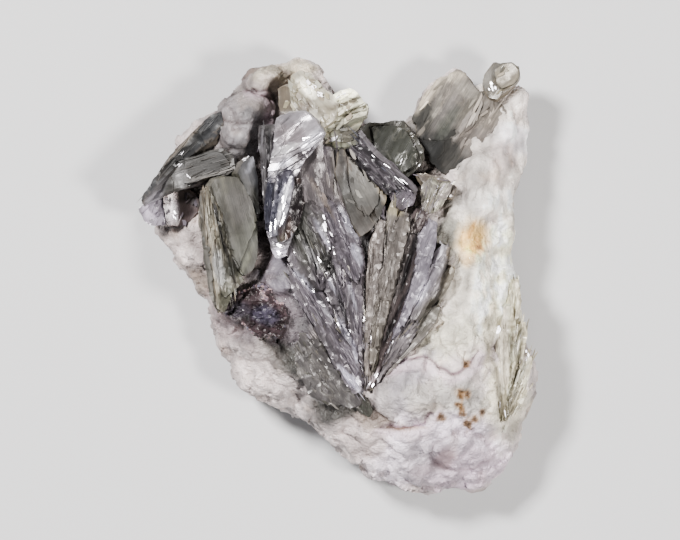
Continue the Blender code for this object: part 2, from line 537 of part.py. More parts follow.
def outline_slab(name, outline, height, home):
    """A flat slab over an outline, from the rest plane up to a height."""
    curve = bpy.data.curves.new(name, "CURVE")
    curve.dimensions = "2D"
    curve.fill_mode = "BOTH"
    curve.extrude = height * MM / 2
    spline = curve.splines.new("POLY")
    spline.points.add(len(outline) - 1)
    spline.use_cyclic_u = True
    for point, (x, y) in zip(spline.points, outline):
        point.co = (x * MM, y * MM, 0, 1)
    drawn = bpy.data.objects.new(name, curve)
    home.objects.link(drawn)
    graph = bpy.context.evaluated_depsgraph_get()
    mesh = bpy.data.meshes.new_from_object(drawn.evaluated_get(graph))
    bpy.data.objects.remove(drawn)
    welded = bmesh.new()
    welded.from_mesh(mesh)
    bmesh.ops.remove_doubles(welded, verts=welded.verts, dist=0.01 * MM)
    bmesh.ops.recalc_face_normals(welded, faces=welded.faces)
    welded.to_mesh(mesh)
    welded.free()
    obj = bpy.data.objects.new(name, mesh)
    home.objects.link(obj)
    return obj


def make_block(home):
    """The block of quartz, before its pockets are cut."""
    slab = 20.0
    block = outline_slab("matrix", OUTLINE, slab, home)
    remesh(block, BLOCK_CELL)
    points = read_points(block.data)
    front, rear = surfaces(points[:, :2])
    share = np.clip(points[:, 2] / slab + 0.5, 0, 1)
    points[:, 2] = rear + (front - rear) * share
    write_points(block.data, points)
    remesh(block, BLOCK_CELL)
    points = read_points(block.data)
    normals = np.array([v.normal[:] for v in block.data.vertices])
    chips = normals * (CHIP_SIDEWAYS, CHIP_SIDEWAYS, 1) * facets(points, CHIP[0], 41)[:, None]
    write_points(block.data, points + CHIP[1] * chips)
    fewer = block.modifiers.new("fewer", "DECIMATE")
    fewer.ratio = BLOCK_FACES / (2 * len(block.data.polygons))
    settle(block)
    return block


def rest_on_a_plane(block, cutters):
    """Cuts the lowest part of the back flat, at height 0."""
    bpy.ops.mesh.primitive_cube_add(size=1, location=(0, 0, (BED - BELOW / 2) * MM))
    below = bpy.context.active_object
    below.name = "rest_plane"
    below.scale = (0.2, 0.2, BELOW * MM)
    bpy.ops.object.transform_apply(location=True, scale=True)
    for owner in list(below.users_collection):
        owner.objects.unlink(below)
    cutters.objects.link(below)
    boolean(block, cutters, "DIFFERENCE")
    points = read_points(block.data)
    points[:, 2] -= BED
    write_points(block.data, points)


def offset(outline, by):
    """The outline moved outwards by that much, corner by corner."""
    corners = [Vector(c) for c in outline]
    area = sum(a.x * b.y - a.y * b.x for a, b in zip(corners, corners[1:] + corners[:1]))
    turn = 1 if area > 0 else -1
    moved = []
    for before, corner, after in zip(corners[-1:] + corners[:-1], corners, corners[1:] + corners[:1]):
        first = (corner - before).normalized()
        second = (after - corner).normalized()
        out = Vector((first.y + second.y, -first.x - second.x)) * turn
        cosine = max(out.length / 2, 0.5)
        moved.append(tuple(corner + out.normalized() * (by / cosine)))
    return moved


def loft(name, rings, home):
    """A closed body between rings of corners, the first on top."""
    mesh = bmesh.new()
    levels = [[mesh.verts.new(corner) for corner in ring] for ring in rings]
    mesh.faces.new(levels[0])
    mesh.faces.new(levels[-1])
    for above, below in zip(levels, levels[1:]):
        for this, after in zip(range(-1, len(above) - 1), range(len(above))):
            mesh.faces.new((above[this], above[after], below[after], below[this]))
    bmesh.ops.recalc_face_normals(mesh, faces=mesh.faces)
    bmesh.ops.scale(mesh, vec=(MM, MM, MM), verts=mesh.verts)
    data = bpy.data.meshes.new(name)
    mesh.to_mesh(data)
    mesh.free()
    obj = bpy.data.objects.new(name, data)
    home.objects.link(obj)
    return obj


def make_crystal(name, plates, home):
    """The plates of one crystal, joined into one solid."""
    joined = collection(name + "_plates", shown=False)
    for index, plate in enumerate(plates):
        # Each plate is a hair thicker than the one before, so that no two undersides share a plane.
        loft(f"{name}_{index}", [plate.ring(0, 0), plate.ring(plate.spread, -plate.thick - 0.07 * index)], joined)
    crystal = joined.objects[0]
    joined.objects.unlink(crystal)
    home.objects.link(crystal)
    crystal.name = name
    if len(plates) > 1:
        boolean(crystal, joined, "UNION")
    return crystal


def pockets(name, plates):
    """What a crystal takes out of its neighbours: its own form grown by the gap, open above its top face."""
    room = collection(name + "_pockets", shown=False)
    for index, plate in enumerate(plates):
        deep = plate.thick + 0.07 * len(plates) + GAP
        rings = [plate.ring(GAP, HEADROOM + 0.03 * index), plate.ring(GAP, 0), plate.ring(plate.spread + GAP, -deep)]
        loft(f"{name}_pocket_{index}", rings, room)
    for cutter in room.objects:
        cutter.hide_render = True
        cutter.display_type = "WIRE"
    return room


def overlap(one, other):
    """Whether the boxes of two objects meet."""
    a, b = read_points(one.data), read_points(other.data)
    return bool((a.min(0) < b.max(0)).all() and (b.min(0) < a.max(0)).all())


def finish(obj, name):
    """Gives an object the material of that name."""
    colour, roughness, metallic = FINISHES.get(name, FINISHES["mica"])
    material = bpy.data.materials.new(name)
    material.use_nodes = True
    shader = material.node_tree.nodes["Principled BSDF"]
    shader.inputs["Base Color"].default_value = (*colour, 1)
    shader.inputs["Roughness"].default_value = roughness
    shader.inputs["Metallic"].default_value = metallic
    obj.data.materials.clear()
    obj.data.materials.append(material)


def centre(objects):
    """Moves everything so that the origin is under the middle of the whole, on the rest plane."""
    points = np.concatenate([read_points(obj.data) for obj in objects])
    middle = (points.min(axis=0) + points.max(axis=0)) / 2
    shift = np.array([middle[0], middle[1], 0])
    for obj in objects:
        write_points(obj.data, read_points(obj.data) - shift)


def main():
    """Builds the block and its crystals, from the highest crystal down."""
    clear_scene()
    specimen = collection("muscovite_specimen")
    cutters = collection("rest_cutter", shown=False)
    block = make_block(specimen)
    rest_on_a_plane(block, cutters)
    crystals = {name: [plate.rooted() for plate in plates] for name, plates in CRYSTALS.items()}
    made = {name: make_crystal(name, plates, specimen) for name, plates in crystals.items()}
    names = list(crystals)
    for place, name in enumerate(names):
        room = pockets(name, crystals[name])
        for lower in names[place + 1:]:
            if overlap(made[name], made[lower]):
                boolean(made[lower], room, "DIFFERENCE")
                keep_largest_body(made[lower])
        boolean(block, room, "DIFFERENCE")
    keep_largest_body(block)
    pieces = [block, *made.values()]
    centre(pieces)
    for piece in pieces:
        finish(piece, piece.name)


main()
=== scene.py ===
"""Dresses the muscovite specimen: a loose block of pale quartz and the silvery mica that grew on it.

The specimen lies on its back, with its show face up and its two-horned top towards +Y. All tables are in
millimetres, in the frame of the outline below; placed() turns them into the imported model's metres.
"""

import json
import logging
import math
from dataclasses import dataclass, field, replace
from enum import Enum

import bmesh
import bpy
import numpy as np
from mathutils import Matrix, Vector
from mathutils.geometry import delaunay_2d_cdt

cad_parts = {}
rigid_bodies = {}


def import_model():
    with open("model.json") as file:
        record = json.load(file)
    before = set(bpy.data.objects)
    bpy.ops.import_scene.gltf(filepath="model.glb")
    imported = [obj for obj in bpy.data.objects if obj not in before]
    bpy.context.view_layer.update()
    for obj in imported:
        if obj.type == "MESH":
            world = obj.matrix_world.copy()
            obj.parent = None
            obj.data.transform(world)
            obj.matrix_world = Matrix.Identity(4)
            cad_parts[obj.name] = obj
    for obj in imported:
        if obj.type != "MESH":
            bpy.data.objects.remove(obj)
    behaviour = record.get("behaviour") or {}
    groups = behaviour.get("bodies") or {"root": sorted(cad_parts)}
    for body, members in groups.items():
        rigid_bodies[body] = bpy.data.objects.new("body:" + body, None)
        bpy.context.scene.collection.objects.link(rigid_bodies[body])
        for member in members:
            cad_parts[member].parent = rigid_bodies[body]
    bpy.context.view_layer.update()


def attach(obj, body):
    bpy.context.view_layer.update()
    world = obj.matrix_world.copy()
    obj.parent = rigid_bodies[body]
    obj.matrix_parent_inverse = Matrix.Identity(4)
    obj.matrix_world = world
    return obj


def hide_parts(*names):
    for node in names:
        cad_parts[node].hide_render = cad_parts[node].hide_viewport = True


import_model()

LOG = logging.getLogger("muscovite")

MM = 0.001
CENTRED = np.array([0.0, 0.18, 0.0])  # the outline's frame is moved by this much, so that the whole is centred
LEAN = 3.0  # how far sideways a tilted sheet's underside may lie from its face
ROOT = 2.5  # how deep a sheet reaches into the quartz under it
OVERHANG = 3.5  # an edge this near the block's outline, or beyond it, needs no root
CUT_DEPTH = 0.5  # how far a crystal is sunk under the one that it grew against

Place = tuple[float, float]
Path = list[Place]
Colour = tuple[float, float, float]
Socket = bpy.types.NodeSocket

# ---------------------------------------------------------------- the block's measured form, mm

# The outline seen from above, from the top left horn clockwise.
LEFT_HORN = [(-19.5, 46), (-16, 47), (-13.7, 47.5), (-12, 47.2), (-10, 48.2), (-8.3, 48.3), (-6, 47.2), (-4.2, 45.8),
             (-3, 43.5), (-0.8, 40.5), (2, 38), (4, 35)]
SADDLE = [(6.5, 32.8), (10, 32.2), (13.2, 32.6), (14.6, 34.6), (16.2, 35.8)]
RIGHT_HORN = [(17.6, 38.2), (18.7, 40.2), (20.2, 42), (22, 44), (24.2, 44.8), (26.4, 46.3), (27.8, 45.5), (29, 43.8),
              (30, 42.6), (32.5, 43.2), (36, 43), (39.6, 42.3), (41.2, 42.8), (42, 39.8), (42.1, 37.2), (41.7, 35.6),
              (42.2, 34.2)]
RIGHT_SIDE = [(41.9, 29), (41.5, 25), (40.4, 21.6), (39.2, 18.6), (39.1, 16), (39.4, 13.8), (39, 8.6), (38.3, 4.6),
              (38.7, 1.8), (40, -0.8), (40.3, -5), (41, -11), (42, -15.6), (43.8, -19.4), (44.3, -22), (43.9, -25),
              (42.2, -29.6), (41, -33), (40.5, -36), (39.2, -39)]
FOOT = [(36, -43.2), (34.4, -44.9), (33.4, -46.6), (31.8, -47.8), (30, -48), (28.4, -47.2), (26, -47), (24, -47.4),
        (21.4, -48.3), (19, -47.7), (17, -48), (14.8, -47.3), (12.6, -45.4), (10.4, -44.7), (8, -44.8), (5.8, -44),
        (4.6, -42), (2.4, -40.2)]
LOWER_LEFT = [(-2.4, -36), (-6.4, -32.8), (-10, -30), (-14.5, -28.4), (-19, -26.4), (-22.6, -24), (-24, -21),
              (-24.2, -18.8), (-27, -15.6), (-27.8, -11.6), (-28.3, -7.4), (-30.4, -4.2), (-32, -2.8), (-32.6, -0.6),
              (-35, 2.4), (-37.4, 6), (-40, 9.2), (-40, 11)]
LEFT_SIDE = [(-38.6, 14), (-37.6, 19), (-36.2, 25), (-35.4, 28.2), (-35.9, 30.4), (-34, 32.4), (-33, 34.2),
             (-31.2, 35.8), (-27.6, 36.4), (-26.4, 37.6), (-25, 39.8), (-22, 41.8), (-20.8, 43.8)]
OUTLINE = LEFT_HORN + SADDLE + RIGHT_HORN + RIGHT_SIDE + FOOT + LOWER_LEFT + LEFT_SIDE

# Heights of the show face above the rest face, (x, y, z), where the quartz lies bare or under its mica.
HORN_HEIGHTS = [(-16, 43.5, 22), (-20, 37.5, 25.5), (-15.5, 38, 21), (-12.8, 40, 17.5), (-23.5, 32, 26.5),
                (-21, 30, 26), (-26, 36, 22.5), (-33, 32.5, 17.5), (-7, 43, 23), (-5, 36, 25)]
SADDLE_HEIGHTS = [(8, 33, 14), (11, 27, 15), (17.5, 21.5, 15.5), (15, 33.5, 15), (19, 29, 15)]
FIN_HEIGHTS = [(24, 40, 15.5), (21, 34, 16.5), (24, 29, 17.5), (27, 24, 20), (29, 36, 17), (35, 38, 17.5),
               (36, 32, 19), (33, 26, 21), (38, 24, 19.5), (28, 17, 24.5), (34, 15, 23), (29, 8, 26), (35, 4, 22.5),
               (31, -3, 27), (26, -8, 28.5), (36, -12, 24)]
DOME_HEIGHTS = [(22, -15, 29.5), (28, -17, 29), (15, -22, 29), (20, -27, 30), (12, -30, 28.5), (27, -27, 28.5),
                (35, -24, 25), (38, -32, 20.5), (24, -36, 25), (16, -39, 23.5), (31, -41, 20), (8, -38, 24),
                (2, -33, 26), (22, -44, 20)]
LEFT_HEIGHTS = [(-36, 9, 17.5), (-33, 3, 18.5), (-31.5, 10, 21), (-30, -1, 19.5), (-36, 18, 16), (-31, 23, 20),
                (-26, 25, 22.5), (-17, 28, 18.5), (-17, 15, 18.5), (-17, 6, 20.5), (-24, 10, 22)]
MIDDLE_HEIGHTS = [(-13, 1, 26), (-10, -5, 27), (-18, -7, 25), (-24, -11, 20.5), (-19, -16, 23.5), (-12, -18, 26),
                  (-7, -21, 27), (-10, -26, 22.5), (-7, -12, 27.5), (0, -24, 27), (0, 0, 25.5), (0, 18, 25),
                  (-9, 24, 24), (12, 8, 25), (16, -6, 26), (8, -15, 27), (20, 8, 25)]
FACE_HEIGHTS = HORN_HEIGHTS + SADDLE_HEIGHTS + FIN_HEIGHTS + DOME_HEIGHTS + LEFT_HEIGHTS + MIDDLE_HEIGHTS

# Heights of the back: broad and nearly level where it rests, lifted under the fin, the horns and the left tip.
BACK_HEIGHTS = [(0, 0, -1.5), (14, -14, -2), (-12, 12, -1.5), (24, -30, -0.5), (-16, -12, 0), (8, -34, -0.5),
                (18, 12, -0.5), (-8, 30, 1), (-22, 32, 4), (-34, 20, 6.5), (-34, 4, 5), (-12, 44, 6), (28, 24, 2.5),
                (34, 40, 7.5), (22, 38, 7), (10, 30, 3), (38, 6, 4), (40, -20, 4.5), (34, -40, 4), (-20, -22, 4)]

# Ledges: along each path the face drops by the first number, on the right-hand side as the path runs.
LEDGES = [
    (1.3, [(30.5, -17.5), (28.2, -20.6), (25, -21.8), (22, -20), (18.6, -18), (14, -18.8), (10.5, -20.4)]),
    (1.0, [(20.6, -30.6), (19.2, -32.6), (15, -33.4), (9.6, -33.2)]),
    (1.6, [(-14.6, 34.6), (-14.2, 38), (-15.6, 41.2), (-19.4, 41)]),
]

# Rounded lumps of quartz on the show face: (x, y, half width, half height, how far it stands out).
LUMPS = [(-16, 43.5, 5.2, 3.4, 1.8), (-20.5, 37.4, 6, 3.4, 2.2), (-19.8, 33.8, 2.6, 1.7, 1.2),
         (-21.5, 30.6, 3, 2.2, 1.4), (-24.7, 33, 1.7, 4.8, 1.6), (14.5, -26.6, 6.5, 6.6, 1.3), (27, -39, 6.5, 4, 1.4),
         (34, -31, 5, 5, 0.8), (-19, -15.5, 5.5, 3, 1.1), (-9, -21, 6, 4.5, 0.8), (-12.5, 0.5, 4, 4.5, 1),
         (32, 20, 4, 8, 0.9), (37, 31, 3, 8, 1), (-34, 3.5, 4, 4, 1)]


# ---------------------------------------------------------------- measuring in the plane


def placed(points: np.ndarray) -> np.ndarray:
    """The model's metres for rows of millimetres in the outline's frame."""
    return (points + CENTRED) * MM


def hashed(cells: np.ndarray, salt: int) -> np.ndarray:
    """A repeatable number from 0 to 1 for each row of whole-number cells.

    Args:
        cells: whole numbers, one cell in each row.
        salt: which of many such patterns to read.

    Returns:
        One number for each cell.
    """
    primes = np.array([73856093, 19349663, 83492791], np.int64)
    mixed = (cells.astype(np.int64) * primes).sum(axis=-1) + salt * 2654435761
    mixed = (mixed ^ (mixed >> 13)) * 1274126177 & 0xFFFFFFFF
    mixed = (mixed ^ (mixed >> 16)) * 2246822519 & 0xFFFFFFFF
    return (mixed ^ (mixed >> 15)) / 2**32


def waves(points: np.ndarray, size: float, salt: int) -> np.ndarray:
    """Smooth repeatable noise from -1 to 1.

    Args:
        points: places in the plane or in space, one in each row.
        size: the noise's grain, in the points' unit.
        salt: which of many such patterns to read.

    Returns:
        One value for each point.
    """
    scaled = points / size
    if scaled.shape[1] == 2:
        scaled = np.column_stack([scaled, np.full(len(scaled), 0.37)])
    home = np.floor(scaled)
    part = scaled - home
    part = part * part * (3 - 2 * part)
    total = np.zeros(len(scaled))
    for corner in np.ndindex(2, 2, 2):
        share = np.prod(np.where(np.array(corner) == 1, part, 1 - part), axis=1)
        total += share * hashed(home + np.array(corner), salt)
    return total * 2 - 1


def facets(points: np.ndarray, size: float, salt: int, tilt: float = 4.0) -> np.ndarray:
    """Broken facets: space is parted into cells, and each cell has one tilted plane.

    Args:
        points: places in space, one in each row.
        size: how wide the facets are.
        salt: which of many such patterns to read.
        tilt: how strongly the planes lean.

    Returns:
        One height from about -1 to 1 for each point.
    """
    scaled = points / size
    home = np.floor(scaled).astype(np.int64)
    nearest = np.full(len(points), np.inf)
    height = np.zeros(len(points))
    for step in np.ndindex(3, 3, 3):
        cell = home + np.array(step) - 1
        centre = cell + np.stack([hashed(cell, salt + k) for k in range(3)], axis=-1)
        away = scaled - centre
        distance = (away**2).sum(axis=-1)
        lean = np.stack([hashed(cell, salt + k) for k in range(3, 6)], axis=-1) - 0.5
        plane = hashed(cell, salt + 6) * 2 - 1 + tilt * (away * lean).sum(axis=-1)
        closer = distance < nearest
        nearest = np.where(closer, distance, nearest)
        height = np.where(closer, plane, height)
    return height


class Relief:
    """A smooth surface through a few measured heights, by multiquadric interpolation."""

    softness = 3.5

    def __init__(self, heights: list[tuple[float, float, float]]) -> None:
        """Finds the weight of each height."""
        table = np.array(heights, float)
        self.places = table[:, :2]
        count = len(table)
        system = np.zeros((count + 1, count + 1))
        system[:count, :count] = self.kernel(self.places)
        system[:count, count] = system[count, :count] = 1
        self.weights = np.linalg.solve(system, np.append(table[:, 2], 0))

    def kernel(self, places: np.ndarray) -> np.ndarray:
        """One column for each measured height."""
        away = places[:, None, :] - self.places[None, :, :]
        return np.sqrt((away**2).sum(axis=2) + self.softness**2)

    def at(self, places: np.ndarray) -> np.ndarray:
        """Heights at the given places."""
        return self.kernel(places) @ self.weights[:-1] + self.weights[-1]


def distance_to_path(places: np.ndarray, path: Path, closed: bool = False) -> tuple[np.ndarray, np.ndarray]:
    """How far places lie from a path of straight runs, and on which side.

    Args:
        places: rows of (x, y).
        path: the path's corners.
        closed: whether the last corner joins the first.

    Returns:
        Distances, and sides: 1 on the right as the path runs, -1 on the left.
    """
    ends = np.array(path, float)
    starts, stops = (ends, np.roll(ends, -1, axis=0)) if closed else (ends[:-1], ends[1:])
    best = np.full(len(places), np.inf)
    side = np.ones(len(places))
    for start, stop in zip(starts, stops):
        run = stop - start
        share = np.clip((places - start) @ run / (run @ run), 0, 1)
        away = places - start - share[:, None] * run
        distance = np.hypot(away[:, 0], away[:, 1])
        right = np.where(run[1] * away[:, 0] - run[0] * away[:, 1] > 0, 1.0, -1.0)
        closer = distance < best
        side = np.where(closer, right, side)
        best = np.where(closer, distance, best)
    return best, side


def inside(places: np.ndarray, outline: Path) -> np.ndarray:
    """Which places lie within a closed outline."""
    x, y = places[:, 0], places[:, 1]
    held = np.zeros(len(places), bool)
    corners = [tuple(corner) for corner in outline]
    for (x0, y0), (x1, y1) in zip(corners, corners[1:] + corners[:1]):
        if y0 != y1:
            held ^= ((y0 > y) != (y1 > y)) & (x < (x1 - x0) * (y - y0) / (y1 - y0) + x0)
    return held


def resampled(path: Path, step: float, closed: bool) -> np.ndarray:
    """The path again, with its corners spread evenly.

    Args:
        path: the path's corners.
        step: about how far apart the new corners are.
        closed: whether the last corner joins the first.

    Returns:
        The new corners, one in each row.
    """
    ends = np.array(path + path[:1] if closed else path, float)
    lengths = np.hypot(*np.diff(ends, axis=0).T)
    along = np.concatenate([[0], np.cumsum(lengths)])
    count = max(int(along[-1] / step), 3)
    wanted = np.linspace(0, along[-1], count + 1)[: count if closed else count + 1]
    return np.column_stack([np.interp(wanted, along, ends[:, k]) for k in range(2)])


def sideways(path: np.ndarray, closed: bool) -> np.ndarray:
    """The direction to the left of a path at each of its corners."""
    if closed:
        run = np.roll(path, -1, axis=0) - np.roll(path, 1, axis=0)
    else:
        run = np.gradient(path, axis=0)
    run /= np.maximum(np.hypot(run[:, 0], run[:, 1]), 1e-9)[:, None]
    return np.column_stack([-run[:, 1], run[:, 0]])


def ragged(path: np.ndarray, amount: float, closed: bool, salt: int) -> np.ndarray:
    """A path with a broken edge: its corners are moved sideways, in coarse and in fine steps."""
    rough = 0.65 * waves(path, 1.9, salt) + 0.35 * (hashed(np.floor(np.c_[path, path[:, :1]] / 0.7), salt) * 2 - 1)
    return path + sideways(path, closed) * (amount * rough)[:, None]


# ---------------------------------------------------------------- tints


@dataclass(frozen=True)
class StainOrPaintedLight:
    """A soft patch of another colour, in hundredths: an ellipse with a ragged edge. Some are the thing's own colours;
    others are painted highlights and painted shade.
    """

    x: float
    y: float
    length: float
    width: float
    red: float
    green: float
    blue: float
    strength: float = 1.0
    turn: float = 0.0  # which way its length runs, in degrees from +X
    soft: float = 0.55  # how wide its edge is, as a share of its size
    smooth: float = 0.0  # how waxy the quartz is there

    def tint(self) -> np.ndarray:
        """Its colour."""
        return np.array([self.red, self.green, self.blue]) / 100

    def share(self, places: np.ndarray) -> np.ndarray:
        """How much of this colour each place has."""
        turn = math.radians(self.turn)
        x, y = (places[:, :2] - (self.x, self.y)).T
        along, across = x * math.cos(turn) + y * math.sin(turn), y * math.cos(turn) - x * math.sin(turn)
        away = np.hypot(along / self.length, across / self.width)
        away += 0.34 * waves(places[:, :2], 2.8, 71) + 0.2 * waves(places[:, :2], 1.1, 72)
        return self.strength * np.clip((1 + self.soft / 2 - away) / self.soft, 0, 1)


def stains_and_painted_light(*rows: tuple[float, ...]) -> tuple[StainOrPaintedLight, ...]:
    """Patches from rows of their numbers."""
    return tuple(StainOrPaintedLight(*row) for row in rows)


def blended(tint: np.ndarray, colour: Colour | np.ndarray, share: np.ndarray) -> np.ndarray:
    """Tints with a share of another colour mixed in at each point."""
    return tint + (np.asarray(colour) - tint) * share[:, None]


def washed(tint: np.ndarray, places: np.ndarray, tints_and_painted_light: tuple[StainOrPaintedLight, ...]) -> np.ndarray:
    """Lays patches of colour over the tints of a piece, whose own light and dark marks stay: the mica's own colours,
    painted highlights and painted shade.

    Args:
        tint: a colour for each point.
        places: the points.
        tints_and_painted_light: the patches to lay over them, in order: own colours, painted highlights and painted
            shade.

    Returns:
        The new colours.
    """
    marks = np.clip(tint.mean(axis=1) / max(tint.mean(), 0.01), 0.5, 1.8)[:, None]
    for patch in tints_and_painted_light:
        tint = blended(tint, patch.tint() * marks, patch.share(places))
    return tint


# ---------------------------------------------------------------- gathering a mesh


def linked(name: str, data: bpy.types.ID) -> bpy.types.Object:
    """A new object in the scene."""
    obj = bpy.data.objects.new(name, data)
    bpy.context.scene.collection.objects.link(obj)
    return obj


def evaluated(obj: bpy.types.Object) -> bpy.types.Mesh:
    """A plain mesh of an object with its modifiers applied."""
    return bpy.data.meshes.new_from_object(obj.evaluated_get(bpy.context.evaluated_depsgraph_get()))


def mended(mesh: bpy.types.Mesh, weld: float) -> None:
    """Merges a mesh's doubles and turns its faces outwards."""
    shaped = bmesh.new()
    shaped.from_mesh(mesh)
    bmesh.ops.remove_doubles(shaped, verts=shaped.verts, dist=weld)
    bmesh.ops.recalc_face_normals(shaped, faces=shaped.faces)
    shaped.to_mesh(mesh)
    shaped.free()


def stored(mesh: bpy.types.Mesh, **values: np.ndarray) -> None:
    """Stores named values for each point of a mesh: vectors, numbers, whole numbers, and the tint as a colour."""
    for name, rows in values.items():
        kind, slot = ("FLOAT_VECTOR", "vector") if rows.ndim == 2 else ("FLOAT", "value")
        if name == "tint":
            kind, slot, rows = "FLOAT_COLOR", "color", np.column_stack([rows, np.ones(len(rows))])
        elif rows.dtype.kind == "i":
            kind = "INT"
        numbers = rows.astype(np.int32 if kind == "INT" else np.float32)
        mesh.attributes.new(name, kind, "POINT").data.foreach_set(slot, numbers.ravel())


class Gathering:
    """Points, faces and surface values of a piece, gathered part by part.

    Three values go with each point for the finishes: its grain (millimetres along and across the sheets and down
    through them), its tint, and how much of a broken edge it is.
    """

    def __init__(self) -> None:
        """Starts with nothing."""
        self.points: list[np.ndarray] = []
        self.grain: list[np.ndarray] = []
        self.tint: list[np.ndarray] = []
        self.edge: list[np.ndarray] = []
        self.faces: list[tuple[int, ...]] = []

    def add(self, points: np.ndarray, faces: list[tuple[int, ...]], grain: np.ndarray, tint: np.ndarray,
            edge: np.ndarray) -> None:
        """Takes one part in.

        Args:
            points: rows of millimetres.
            faces: corner numbers within this part.
            grain: a vector for each point.
            tint: a colour for each point.
            edge: a share from 0 to 1 for each point.
        """
        before = sum(len(part) for part in self.points)
        self.faces.extend(tuple(corner + before for corner in face) for face in faces)
        self.points.append(points)
        self.grain.append(grain)
        self.tint.append(tint)
        self.edge.append(edge)

    def built(self, name: str, crease: float) -> bpy.types.Object:
        """Makes the piece's object.

        Args:
            name: its name.
            crease: faces that meet at more than this many degrees have a sharp edge between them.

        Returns:
            The object, in the scene.
        """
        mesh = bpy.data.meshes.new(name)
        mesh.from_pydata(placed(np.concatenate(self.points)).tolist(), [], self.faces)
        stored(mesh, grain=np.concatenate(self.grain), tint=np.concatenate(self.tint), edge=np.concatenate(self.edge))
        mesh.shade_smooth()
        mesh.set_sharp_from_angle(angle=math.radians(crease))
        mesh.update()
        return linked(name, mesh)


# ---------------------------------------------------------------- sheets of mica


@dataclass(frozen=True)
class Step:
    """A broken edge on a sheet's face, which is lower by `drop` on the right of the path.

    The lowering fades out over `reach`, or goes on for ever where that is 0. A closed path raises what it holds.
    """

    path: Path
    drop: float
    reach: float = 0.0
    closed: bool = False

    def lowering(self, places: np.ndarray) -> tuple[np.ndarray, np.ndarray]:
        """How much lower the face is at each place, and how near the broken edge is, from 0 to 1."""
        distance, side = distance_to_path(places, self.path, self.closed)
        share = np.clip(0.5 + side * distance / 0.1, 0, 1)
        fade = np.clip(1 - distance / self.reach, 0, 1) if self.reach else 1.0
        return self.drop * share * fade, np.clip(1 - distance / 0.16, 0, 1)


